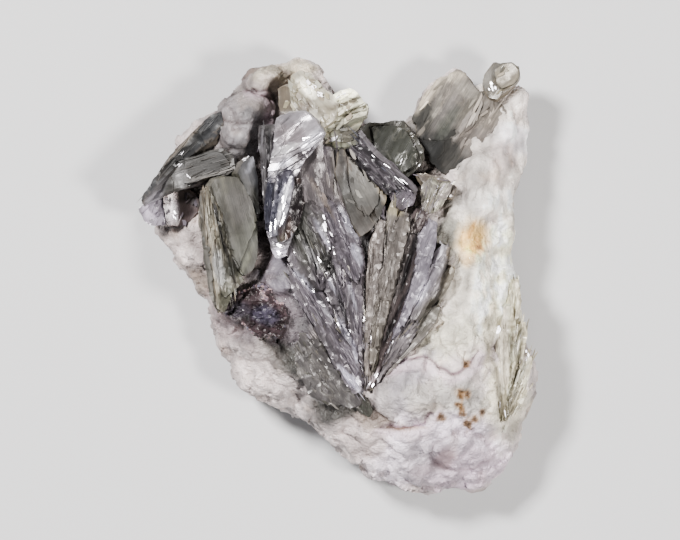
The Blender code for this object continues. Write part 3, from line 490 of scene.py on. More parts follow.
@dataclass(frozen=True)
class Sheet:
    """A slab of mica: many sheets that grew as one, with a broken face and a layered edge.

    outline is the edge of its top face seen from above, point lies on that face, slope is the face's rise along X
    and along Y, and thick is its thickness, square to the face.
    """

    outline: Path
    point: tuple[float, float, float]
    slope: Place
    thick: float
    heading: float = 90.0  # which way its grain runs, in degrees from +X
    tint: Colour = (0.3, 0.29, 0.27)
    # The paler tint of its sides and broken edges is partly their own colour and partly a painted highlight; where
    # none is given it is 1.35 times its own tint.
    edge_tint: Colour | None = None
    steps: tuple[Step, ...] = ()
    # Small broken sheets left standing on the face: how many to the square centimetre, how long, wide and high.
    breaks: tuple[float, float, float, float] = (10, 3.2, 0.8, 0.2)
    ripple: float = 0.25  # how wavy the face is
    rough: float = 0.22  # how ragged the outline is
    leaf: float = 0.4  # thickness of the layers that show on its side
    leaf_jut: float = 0.3  # how far single layers stand out of its side
    packet_jut: float = 0.24  # and how far packets of them do
    grid: float = 0.62  # how far apart the points of its face are
    sunken: float = 0.0  # how far in from its edge the quartz laps over it
    salt: int = 1  # which of many like patterns it has

    def top(self, places: np.ndarray) -> np.ndarray:
        """Height of the flat face at each place."""
        x0, y0, z0 = self.point
        return z0 + self.slope[0] * (places[:, 0] - x0) + self.slope[1] * (places[:, 1] - y0)

    def normal(self) -> Vector:
        """The way that the face looks."""
        return Vector((-self.slope[0], -self.slope[1], 1)).normalized()

    def depth(self, quartz: Relief) -> float:
        """Its thickness, with what it needs for its underside to reach into the quartz."""
        places = np.array(self.outline, float)
        inset, side = distance_to_path(places, OUTLINE, closed=True)
        bedded = (inset > OVERHANG) & (side > 0)
        if not bedded.any():
            return self.thick
        above = (self.top(places) - quartz.at(places))[bedded].max()
        return max(self.thick, (above + ROOT) * self.normal().z)

    def axes(self) -> np.ndarray:
        """The directions along and across the grain."""
        turn = math.radians(self.heading)
        return np.array([(math.cos(turn), math.sin(turn)), (-math.sin(turn), math.cos(turn))])

    def local(self, places: np.ndarray) -> np.ndarray:
        """Places along and across the grain."""
        return np.column_stack([places @ axis for axis in self.axes()])

    def broken_sheets(self) -> list[Step]:
        """The small sheets left standing on the face, lance-shaped along the grain."""
        number, *size, height = self.breaks
        local = self.local(np.array(self.outline, float))
        low, high = local.min(axis=0), local.max(axis=0)
        chance = np.random.default_rng(self.salt + 7)
        along, across = self.axes()
        made = []
        for _ in range(int(number * np.prod(high - low) / 100)):
            u, v = chance.uniform(low, high)
            half_long, half_wide = np.array(size) * chance.uniform(0.5, 1.5, 2) / 2
            shear = chance.uniform(-0.35, 0.35)
            ring = [(-1, 0.1), (-0.75, 0.8), (0.1, 1), (0.8, 0.7), (1, 0), (0.6, -0.9), (-0.2, -1), (-0.8, -0.7)]
            path = [tuple(along * (u + half_long * (a * chance.uniform(0.6, 1.2) + shear * b))
                          + across * (v + half_wide * b * chance.uniform(0.4, 1.4))) for a, b in ring]
            made.append(Step(path, -height * chance.uniform(0.3, 1.0), closed=True))
        return made

    def drawn(self, gathering: Gathering, quartz: Relief) -> None:
        """Adds the slab to a piece.

        Args:
            gathering: the piece it belongs to.
            quartz: heights of the quartz that it is rooted in.
        """
        ring = ragged(resampled(self.outline, 0.5, True), self.rough, True, self.salt)
        steps = [replace(step, path=ragged(resampled(step.path, 0.6, step.closed), 0.22, step.closed,
                                           self.salt + k).tolist()) for k, step in enumerate(self.steps)]
        steps += self.broken_sheets()
        seeds, edges = [ring], []
        count = len(ring)
        for step in steps:
            path = np.array(step.path, float)
            left = sideways(path, step.closed) * 0.05
            for shifted in (path + left, path - left):
                away, _ = distance_to_path(shifted, ring.tolist(), closed=True)
                kept = inside(shifted, ring.tolist()) & (away > 0.15)
                numbers = np.where(kept, count + np.cumsum(kept) - 1, -1)
                seeds.append(shifted[kept])
                count += int(kept.sum())
                after = np.roll(numbers, -1) if step.closed else np.append(numbers[1:], -1)
                edges += [(int(a), int(b)) for a, b in zip(numbers, after) if a >= 0 and b >= 0 and a != b]
        seeds.append(self.filling(ring))
        flat = np.concatenate(seeds)
        found = delaunay_2d_cdt([Vector(p) for p in flat.tolist()], edges, [list(range(len(ring)))], 1, 1e-4)
        triangles = [self.turned(found[0], face) for face in found[2]]
        self.shell(gathering, np.array([tuple(v) for v in found[0]]), triangles, steps, self.depth(quartz))

    def filling(self, ring: np.ndarray) -> np.ndarray:
        """A jittered grid of points within the ring."""
        low, high = ring.min(axis=0), ring.max(axis=0)
        rows = [np.arange(low[k], high[k] + self.grid, self.grid) for k in range(2)]
        points = np.stack(np.meshgrid(*rows), axis=-1).reshape(-1, 2)
        points += np.random.default_rng(self.salt).uniform(-0.22, 0.22, points.shape) * self.grid
        held = inside(points, ring.tolist())
        points = points[held]
        away, _ = distance_to_path(points, ring.tolist(), closed=True)
        return points[away > 0.3]

    @staticmethod
    def turned(places: list[Vector], face: list[int]) -> tuple[int, ...]:
        """A triangle's corners in the order that makes it look up."""
        a, b, c = (places[corner] for corner in face[:3])
        return tuple(face) if (b - a).cross(c - a) > 0 else tuple(reversed(face))

    def face_height(self, places: np.ndarray, steps: list[Step]) -> tuple[np.ndarray, np.ndarray]:
        """Height of the broken face at each place, and how near a broken edge it is."""
        local = self.local(places)
        height = self.top(places) + self.ripple * waves(local / (7.0, 2.2), 1.0, self.salt + 3)
        height += 0.3 * self.ripple * waves(local / (6.0, 2.0), 1.0, self.salt + 5)
        near = np.zeros(len(places))
        for step in steps:
            lower, close = step.lowering(places)
            height -= lower
            near = np.maximum(near, close * min(1, abs(step.drop) * 3 + 0.2))
        return height, near

    def shell(self, gathering: Gathering, places: np.ndarray, triangles: list[tuple[int, ...]], steps: list[Step],
              depth: float) -> None:
        """Closes the triangulated face with layered sides and an underside.

        Args:
            gathering: the piece that it goes to.
            places: the face's points seen from above.
            triangles: the face's triangles, which look up.
            steps: the broken edges on it.
            depth: how thick the slab is.
        """
        used = sorted({corner for face in triangles for corner in face})
        renumber = {old: new for new, old in enumerate(used)}
        places = places[used]
        faces = [tuple(renumber[corner] for corner in face) for face in triangles]
        height, near = self.face_height(places, steps)
        points = np.column_stack([places, height])
        local = self.local(places)
        edge, grain, parts = [near], [np.column_stack([local, np.zeros(len(places))])], [points]
        square = self.normal()
        count = len(points)
        layers = max(int(depth / self.leaf), 3)
        for loop in self.rims(faces):
            rim = points[loop]
            out = -sideways(rim[:, :2], True)
            above, size = list(loop), len(loop)
            for layer in range(1, layers + 1):
                down = depth * layer / layers
                sunk = min(down, LEAN)
                shift = np.array(square.xy) * -sunk
                drop = down / square.z - shift @ np.array(self.slope)
                leaf = np.c_[rim[:, :2] + 1.37 * layer, np.full(size, 2.1 * layer)]  # so that no two leaves line up
                packet = np.c_[rim[:, :2], np.full(size, 0.8 * layer)]
                jut = self.leaf_jut * waves(leaf, 2.6, self.salt + 9)
                jut += self.packet_jut * waves(packet, 4.0, self.salt + 13)
                flat = rim[:, :2] + shift + out * jut[:, None]
                parts.append(np.column_stack([flat, rim[:, 2] - drop]))
                grain.append(np.column_stack([local[loop], np.full(size, down)]))
                edge.append(np.full(size, 1.0))
                below = list(range(count, count + size))
                count += size
                faces += [(above[i - 1], below[i - 1], below[i], above[i]) for i in range(size)]
                above = below
            faces.append(tuple(reversed(above)))
        edge, grain = np.concatenate(edge), np.concatenate(grain)
        gathering.add(np.concatenate(parts), faces, grain, self.coloured(edge, grain), edge)

    def coloured(self, edge: np.ndarray, grain: np.ndarray) -> np.ndarray:
        """The tint of each point: the sheet's own, with soft clouds, and the edge's on its sides and near its broken
        edges, partly their own colour and partly a painted highlight.
        """
        clouds = 1 + 0.22 * waves(grain / (6.0, 2.5, 3.0), 1.0, self.salt + 11)
        clouds += 0.3 * edge * np.sign(grain[:, 2]) * waves(grain / (7.0, 7.0, 0.7), 1.0, self.salt + 15)
        side = np.array(self.edge_tint or tuple(min(1.0, 1.35 * c) for c in self.tint))
        face = np.array(self.tint)
        return np.clip((face + (side - face) * edge[:, None]) * clouds[:, None], 0, 1.5)

    @staticmethod
    def rims(triangles: list[tuple[int, ...]]) -> list[list[int]]:
        """The closed loops of edges that only one triangle uses, in the order that the triangles run."""
        runs = {(a, b) for face in triangles for a, b in zip(face, face[1:] + face[:1])}
        follow = {a: b for a, b in runs if (b, a) not in runs}
        loops = []
        while follow:
            start, step = next(iter(follow.items()))
            loop = [start]
            del follow[start]
            while step != start and step in follow:
                loop.append(step)
                step = follow.pop(step)
            if len(loop) > 2:
                loops.append(loop)
        return loops


@dataclass(frozen=True)
class Fan:
    """Long leaves of mica that spread from one foot. Each leaf is (tip x, tip y, tip z, width, roll)."""

    foot: tuple[float, float, float]
    leaves: tuple[tuple[float, float, float, float, float], ...]
    thick: float
    belly: float = 0.62  # where along a leaf it is widest
    tints: tuple[Colour, ...] = ((0.25, 0.22, 0.25),)
    salt: int = 1
    sunken: float = 0.0

    def sheets(self) -> list[Sheet]:
        """One sheet for each leaf."""
        return [self.leaf(order, Vector(leaf[:3]), *leaf[3:]) for order, leaf in enumerate(self.leaves)]

    def leaf(self, order: int, tip: Vector, width: float, roll: float) -> Sheet:
        """A lance-shaped sheet from the foot to its tip.

        Args:
            order: the leaf's number, which keeps it clear of its neighbours' planes.
            tip: where it ends.
            width: how wide it is at its widest.
            roll: its rise to the right of its length.

        Returns:
            The sheet.
        """
        foot = Vector(self.foot) + Vector((0.19 * (order % 3), -0.13 * (order % 4), -0.11 * order))
        along = tip - foot
        length = along.xy.length
        ahead = along.xy / length
        aside = Vector((ahead.y, -ahead.x))
        half_widths = [(0, 0.16), (0.3, 0.34), (self.belly, 0.5), (0.88, 0.4), (1, 0.14)]
        right = [foot.xy + ahead * (t * length) + aside * (w * width) for t, w in half_widths]
        left = [foot.xy + ahead * (t * length) - aside * (w * width) for t, w in reversed(half_widths)]
        return Sheet([tuple(p) for p in left + right], tuple(foot), tuple(ahead * (along.z / length) + aside * roll),
                     self.thick, heading=math.degrees(math.atan2(ahead.y, ahead.x)),
                     tint=self.tints[order % len(self.tints)], salt=self.salt + 20 * order,
                     breaks=(26, 4.2, 0.5, 0.22), ripple=0.3, rough=0.3, grid=0.66, sunken=self.sunken)


# ---------------------------------------------------------------- loose flakes


@dataclass(frozen=True)
class Flakes:
    """Where a piece's loose flakes sit: rows of place, turn, size (length, width, thickness), tint and shape."""

    place: np.ndarray
    turn: np.ndarray
    size: np.ndarray
    tint: np.ndarray
    shape: np.ndarray


def facing(heading: np.ndarray, look: np.ndarray) -> np.ndarray:
    """The turns that lay flakes along a heading with their faces looking a given way.

    Args:
        heading: angles of their lengths from +X, in radians.
        look: the way that each face looks, one unit vector in each row.

    Returns:
        Euler angles, one row for each flake.
    """
    cosine, sine = np.cos(heading), np.sin(heading)
    ahead = cosine * look[:, 0] + sine * look[:, 1]
    aside = -sine * look[:, 0] + cosine * look[:, 1]
    return np.column_stack([-np.arcsin(np.clip(aside, -1, 1)), np.arctan2(ahead, look[:, 2]), heading])


class Cut(Enum):
    """The outlines that a flake may have, as (along, across) corners from -0.5 to 0.5."""

    SLIVER = ((-0.5, 0.0), (-0.32, 0.3), (0.05, 0.5), (0.4, 0.36), (0.5, 0.05), (0.3, -0.4), (-0.1, -0.5),
              (-0.42, -0.28))
    LATH = ((-0.5, 0.3), (0.36, 0.5), (0.5, 0.12), (0.44, -0.5), (-0.3, -0.42), (-0.46, -0.2))
    SHARD = ((-0.5, -0.1), (-0.2, 0.5), (0.22, 0.34), (0.5, 0.4), (0.36, -0.3), (0.02, -0.5))


class Nodes:
    """A short way to fill a node tree."""

    def __init__(self, tree: bpy.types.NodeTree) -> None:
        """Works on the given tree."""
        self.tree = tree

    def add(self, kind: str, inputs: dict[str | int, object] | None = None, **settings: object) -> bpy.types.Node:
        """Adds one node.

        Args:
            kind: the node's type.
            inputs: values or output sockets for its inputs, by name or number.
            settings: the node's own properties.

        Returns:
            The node.
        """
        made = self.tree.nodes.new(kind)
        for name, value in settings.items():
            setattr(made, name, value)
        for name, value in (inputs or {}).items():
            if isinstance(value, bpy.types.NodeSocket):
                self.tree.links.new(value, made.inputs[name])
            else:
                made.inputs[name].default_value = value
        return made

    def value(self, name: str, output: str = "Color") -> Socket:
        """A value stored on the mesh."""
        return self.add("ShaderNodeAttribute", attribute_name=name).outputs[output]

    def noise(self, vector: Socket, scale: float, detail: float, rough: float) -> Socket:
        """Noise from 0 to 1."""
        inputs = {"Vector": vector, "Scale": scale, "Detail": detail, "Roughness": rough}
        return self.add("ShaderNodeTexNoise", inputs).outputs["Fac"]

    def ramp(self, value: Socket, low: float, high: float, start: float = 0.0, end: float = 1.0) -> Socket:
        """A value stretched from one range to another and held there."""
        inputs = {"Value": value, "From Min": low, "From Max": high, "To Min": start, "To Max": end}
        return self.add("ShaderNodeMapRange", inputs).outputs["Result"]

    def sum(self, operation: str, first: object, second: object) -> Socket:
        """One step of arithmetic."""
        return self.add("ShaderNodeMath", {0: first, 1: second}, operation=operation).outputs[0]

    def in_units(self, size: Socket) -> Socket:
        """Places on the object, in units of a size in millimetres."""
        inputs = {0: self.add("ShaderNodeTexCoord").outputs["Object"], "Scale": self.sum("DIVIDE", 1000.0, size)}
        return self.add("ShaderNodeVectorMath", inputs, operation="SCALE").outputs["Vector"]


class FlakeField:
    """Sets flakes on worked-out places with Geometry Nodes, and turns them into one plain mesh."""

    factors = ("Length", "Width", "Thickness")

    def __init__(self) -> None:
        """Makes the stock of flakes that the field picks from."""
        self.stock = bpy.data.collections.new("flake_stock")
        bpy.context.scene.collection.children.link(self.stock)
        for number, cut in enumerate(Cut):
            self.stock.objects.link(self.one(f"flake_{number}", cut))
        self.nodes = self.tree()

    @staticmethod
    def one(name: str, cut: Cut) -> bpy.types.Object:
        """One flake, a millimetre long, wide and thick, with a smaller top than underside."""
        size = len(cut.value)
        points = [(x * 2 * grow * MM, y * 2 * grow * MM, z * MM)
                  for grow, z in ((0.42, 0.5), (0.5, 0.12), (0.46, -0.5)) for x, y in cut.value]
        faces = [tuple(reversed(range(size))), tuple(range(2 * size, 3 * size))]
        for first in (0, size):
            faces += [(first + i, first + (i + 1) % size, first + size + (i + 1) % size, first + size + i)
                      for i in range(size)]
        mesh = bpy.data.meshes.new(name)
        mesh.from_pydata(points, [], faces)
        mended(mesh, 0.0)
        return bpy.data.objects.new(name, mesh)

    def tree(self) -> bpy.types.GeometryNodeTree:
        """The node tree: a flake on each point, turned and sized by the point's own values."""
        tree = bpy.data.node_groups.new("flake_field", "GeometryNodeTree")
        sockets = {"Places": "Geometry", "Stock": "Collection", "Finish": "Material"}
        for name, kind in (sockets | dict.fromkeys(self.factors, "Float")).items():
            tree.interface.new_socket(name, in_out="INPUT", socket_type="NodeSocket" + kind)
        tree.interface.new_socket("Flakes", in_out="OUTPUT", socket_type="NodeSocketGeometry")
        nodes = Nodes(tree)
        given = nodes.add("NodeGroupInput").outputs
        turn, size, shape = (
            nodes.add("GeometryNodeInputNamedAttribute", {"Name": name}, data_type=kind).outputs["Attribute"]
            for name, kind in (("turn", "FLOAT_VECTOR"), ("size", "FLOAT_VECTOR"), ("shape", "INT")))
        stock = nodes.add("GeometryNodeCollectionInfo", {"Collection": given["Stock"], "Separate Children": True,
                                                         "Reset Children": True})
        scale = nodes.add("ShaderNodeCombineXYZ", {axis: given[name] for axis, name in zip("XYZ", self.factors)})
        sized = nodes.add("ShaderNodeVectorMath", {0: size, 1: scale.outputs["Vector"]}, operation="MULTIPLY")
        turned = nodes.add("FunctionNodeEulerToRotation", {"Euler": turn})
        placing = nodes.add("GeometryNodeInstanceOnPoints", {
            "Points": given["Places"], "Instance": stock.outputs["Instances"], "Pick Instance": True,
            "Instance Index": shape, "Rotation": turned.outputs["Rotation"], "Scale": sized.outputs["Vector"]})
        real = nodes.add("GeometryNodeRealizeInstances", {"Geometry": placing.outputs["Instances"]})
        finish = nodes.add("GeometryNodeSetMaterial", {"Geometry": real.outputs["Geometry"],
                                                       "Material": given["Finish"]})
        nodes.add("NodeGroupOutput", {"Flakes": finish.outputs["Geometry"]})
        return tree

    def grown(self, name: str, flakes: Flakes, finish: bpy.types.Material) -> bpy.types.Object:
        """Makes one piece of many flakes.

        Args:
            name: the piece's name.
            flakes: where they sit, in millimetres.
            finish: their material.

        Returns:
            The piece, a plain mesh.
        """
        mesh = bpy.data.meshes.new(name + "_places")
        mesh.from_pydata(placed(flakes.place).tolist(), [], [])
        stored(mesh, turn=flakes.turn, size=flakes.size, grain=flakes.place[:, [1, 0, 2]], tint=flakes.tint,
               shape=flakes.shape)
        points = linked(name + "_places", mesh)
        modifier = points.modifiers.new("flakes", "NODES")
        modifier.node_group = self.nodes
        inputs = {item.name: item.identifier for item in self.nodes.interface.items_tree if item.in_out == "INPUT"}
        for socket, value in {"Stock": self.stock, "Finish": finish, **dict.fromkeys(self.factors, 1.0)}.items():
            modifier[inputs[socket]] = value
        made = evaluated(points)
        bpy.data.objects.remove(points)
        bpy.data.meshes.remove(mesh)
        made.name = name
        return linked(name, made)

    def put_away(self) -> None:
        """Removes the stock once every field has grown."""
        for flake in list(self.stock.objects):
            bpy.data.objects.remove(flake)
        bpy.data.collections.remove(self.stock)
        bpy.data.node_groups.remove(self.nodes)


# ---------------------------------------------------------------- finishes


def group(name: str, inputs: dict[str, float], outputs: tuple[str, ...]) -> bpy.types.ShaderNodeTree:
    """An empty node group with number inputs and outputs.

    Args:
        name: the group's name.
        inputs: the inputs and their usual values.
        outputs: the outputs.

    Returns:
        The group's tree.
    """
    tree = bpy.data.node_groups.new(name, "ShaderNodeTree")
    for socket, usual in inputs.items():
        tree.interface.new_socket(socket, in_out="INPUT", socket_type="NodeSocketFloat").default_value = usual
    for socket in outputs:
        tree.interface.new_socket(socket, in_out="OUTPUT", socket_type="NodeSocketFloat")
    return tree


class Effects:
    """The shader groups that more than one finish uses."""

    def __init__(self) -> None:
        """Builds each group once."""
        self.strata = self.make_strata()
        self.grit = self.make_grit()
        self.glints = self.make_glints()

    @staticmethod
    def make_strata() -> bpy.types.ShaderNodeTree:
        """Fine lines along the grain of a mica sheet, and layers on its side."""
        tree = group("mica_strata", {"Along": 0.12, "Across": 2.2, "Down": 5.0}, ("Lines", "Height"))
        nodes = Nodes(tree)
        given = nodes.add("NodeGroupInput").outputs
        factors = nodes.add("ShaderNodeCombineXYZ", {"X": given["Along"], "Y": given["Across"], "Z": given["Down"]})
        stretched = nodes.add("ShaderNodeVectorMath", {0: nodes.value("grain", "Vector"), 1: factors.outputs[0]},
                              operation="MULTIPLY").outputs["Vector"]
        fine = nodes.noise(stretched, 2.3, 4.0, 0.7)
        broad = nodes.noise(stretched, 0.5, 2.0, 0.5)
        both = nodes.sum("ADD", nodes.sum("MULTIPLY", fine, 0.6), nodes.sum("MULTIPLY", broad, 0.4))
        nodes.add("NodeGroupOutput", {"Lines": nodes.ramp(both, 0.36, 0.66), "Height": both})
        return tree

    @staticmethod
    def make_grit() -> bpy.types.ShaderNodeTree:
        """Fine even roughness in space, for sugary quartz and worn mica."""
        tree = group("grit", {"Size": 1.0}, ("Clouds", "Height"))
        nodes = Nodes(tree)
        wide = nodes.in_units(nodes.add("NodeGroupInput").outputs["Size"])
        clouds = nodes.noise(wide, 0.35, 5.0, 0.62)
        cells = nodes.add("ShaderNodeTexVoronoi", {"Vector": wide, "Scale": 1.6}).outputs["Distance"]
        height = nodes.sum("ADD", nodes.sum("MULTIPLY", cells, -0.22), nodes.noise(wide, 2.4, 3.0, 0.6))
        nodes.add("NodeGroupOutput", {"Clouds": nodes.ramp(clouds, 0.3, 0.7), "Height": height})
        return tree

    @staticmethod
    def make_glints() -> bpy.types.ShaderNodeTree:
        """Small specks that catch the light: 1 on a speck and 0 between them."""
        tree = group("glints", {"Size": 0.5, "Share": 0.1}, ("Specks",))
        nodes = Nodes(tree)
        given = nodes.add("NodeGroupInput").outputs
        cell = nodes.add("ShaderNodeTexVoronoi", {"Vector": nodes.in_units(given["Size"]), "Scale": 1.0})
        picked = nodes.add("ShaderNodeSeparateColor", {"Color": cell.outputs["Color"]}).outputs[0]
        nodes.add("NodeGroupOutput", {"Specks": nodes.sum("LESS_THAN", picked, given["Share"])})
        return tree


class Surface(Nodes):
    """The nodes of one material."""

    def __init__(self, name: str, settings: dict[str, object]) -> None:
        """Makes the material, and sets what is the same all over it."""
        self.material = bpy.data.materials.new(name)
        self.material.use_nodes = True
        super().__init__(self.material.node_tree)
        self.shader = self.tree.nodes["Principled BSDF"]
        for socket, value in settings.items():
            self.shader.inputs[socket].default_value = value

    def effect(self, tree: bpy.types.ShaderNodeTree, **inputs: float) -> bpy.types.bpy_prop_collection:
        """The outputs of a shared group."""
        return self.add("ShaderNodeGroup", inputs, node_tree=tree).outputs

    def feed(self, socket: str, value: Socket) -> None:
        """Leads a value to the shader."""
        self.tree.links.new(value, self.shader.inputs[socket])

    def tinted(self, tone: Socket) -> None:
        """Gives the surface its stored tint, paler or darker by the tone."""
        shade = self.add("ShaderNodeCombineColor", {0: tone, 1: tone, 2: tone})
        mix = self.add("ShaderNodeMix", data_type="RGBA", blend_type="MULTIPLY")
        mix.inputs[0].default_value = 1.0
        for number, colour in ((6, self.value("tint")), (7, shade.outputs[0])):
            self.tree.links.new(colour, mix.inputs[number])
        self.feed("Base Color", mix.outputs[2])

    def raised(self, height: Socket, strength: float, distance: float) -> None:
        """Raises a fine relief, with its distance in millimetres."""
        inputs = {"Height": height, "Strength": strength, "Distance": distance * MM}
        self.feed("Normal", self.add("ShaderNodeBump", inputs).outputs["Normal"])


@dataclass(frozen=True)
class MicaFinish:
    """Silvery sheets: pearly, streaked along the grain, with paler broken edges whose tint is partly a painted
    highlight.
    """

    name: str
    metallic: float = 0.4
    roughness: float = 0.22
    contrast: float = 0.5  # how much darker the dark streaks are
    bump: float = 0.35
    coat: float = 0.12
    glints: float = 0.08  # how thick the bright specks lie
    glass: float = 0.0  # how much light it lets through
    gloss: float = 0.36  # how strongly its clear parts shine

    def made(self, effects: Effects) -> bpy.types.Material:
        """Builds the material."""
        nodes = Surface(self.name, {"Coat Weight": self.coat, "Coat Roughness": 0.18, "IOR": 1.58,
                                    "Specular IOR Level": self.gloss, "Transmission Weight": self.glass})
        strata, grit = nodes.effect(effects.strata), nodes.effect(effects.grit, Size=0.5)
        specks = nodes.effect(effects.glints, Size=0.4, Share=self.glints * 0.2)["Specks"]
        edge, lines = nodes.value("edge", "Fac"), strata["Lines"]
        nodes.tinted(nodes.sum("MULTIPLY", nodes.ramp(lines, 0, 1, 1 - self.contrast, 1 + self.contrast * 0.7),
                               nodes.ramp(grit["Clouds"], 0, 1, 0.82, 1.18)))
        nodes.feed("Metallic", nodes.ramp(edge, 0, 1, self.metallic, self.metallic * 0.45))
        nodes.feed("Roughness", nodes.sum(
            "ADD", nodes.ramp(lines, 0, 1, self.roughness + 0.1, self.roughness - 0.04),
            nodes.sum("SUBTRACT", nodes.sum("MULTIPLY", edge, 0.12), nodes.sum("MULTIPLY", specks, 0.08))))
        nodes.raised(nodes.sum("ADD", strata["Height"], nodes.sum("MULTIPLY", grit["Height"], 0.3)), self.bump, 0.18)
        return nodes.material


@dataclass(frozen=True)
class QuartzFinish:
    """Milky quartz: cloudy, a little translucent, with sugary patches and small glints."""

    name: str = "quartz"
    roughness: float = 0.52
    softness: float = 0.08  # how much light it lets in

    def made(self, effects: Effects) -> bpy.types.Material:
        """Builds the material."""
        nodes = Surface(self.name, {"IOR": 1.54, "Subsurface Weight": self.softness,
                                    "Subsurface Radius": (1.0, 0.8, 0.7), "Subsurface Scale": 1.5 * MM})
        coarse, fine = nodes.effect(effects.grit, Size=4.5), nodes.effect(effects.grit, Size=1.5)
        specks = nodes.sum("MULTIPLY", nodes.effect(effects.glints, Size=0.42, Share=0.05)["Specks"], 0.34)
        nodes.tinted(nodes.sum("MULTIPLY", nodes.ramp(coarse["Clouds"], 0, 1, 0.72, 1.24),
                               nodes.ramp(fine["Clouds"], 0, 1, 0.68, 1.28)))
        rough = nodes.ramp(fine["Clouds"], 0, 1, self.roughness + 0.1, self.roughness - 0.1)
        nodes.feed("Roughness", nodes.sum("SUBTRACT", rough, specks))
        height = nodes.sum("ADD", fine["Height"], nodes.sum("MULTIPLY", coarse["Height"], 1.4))
        waxy = nodes.ramp(nodes.value("edge", "Fac"), 0, 1, 1.0, 0.25)
        nodes.raised(nodes.sum("MULTIPLY", height, waxy), 1.0, 0.55)
        return nodes.material


@dataclass(frozen=True)
class CrustFinish:
    """Dark crystals: near black to wine brown, with bright facets."""

    name: str = "dark_mineral"

    def made(self, effects: Effects) -> bpy.types.Material:
        """Builds the material."""
        nodes = Surface(self.name, {"Coat Weight": 0.3})
        grit = nodes.effect(effects.grit, Size=0.7)
        nodes.tinted(nodes.ramp(grit["Clouds"], 0, 1, 0.5, 1.5))
        nodes.feed("Roughness", nodes.ramp(grit["Clouds"], 0, 1, 0.5, 0.22))
        nodes.raised(grit["Height"], 0.5, 0.3)
        return nodes.material


# ---------------------------------------------------------------- the quartz


def from_lump(places: np.ndarray, lump: tuple[float, float, float, float, float]) -> np.ndarray:
    """How far each place is from a lump's middle: 1 on its uneven outline."""
    x, y, half_width, half_height, _ = lump
    away = np.hypot((places[:, 0] - x) / half_width, (places[:, 1] - y) / half_height)
    return away * (1 + 0.16 * waves(places, 3.2, 67))


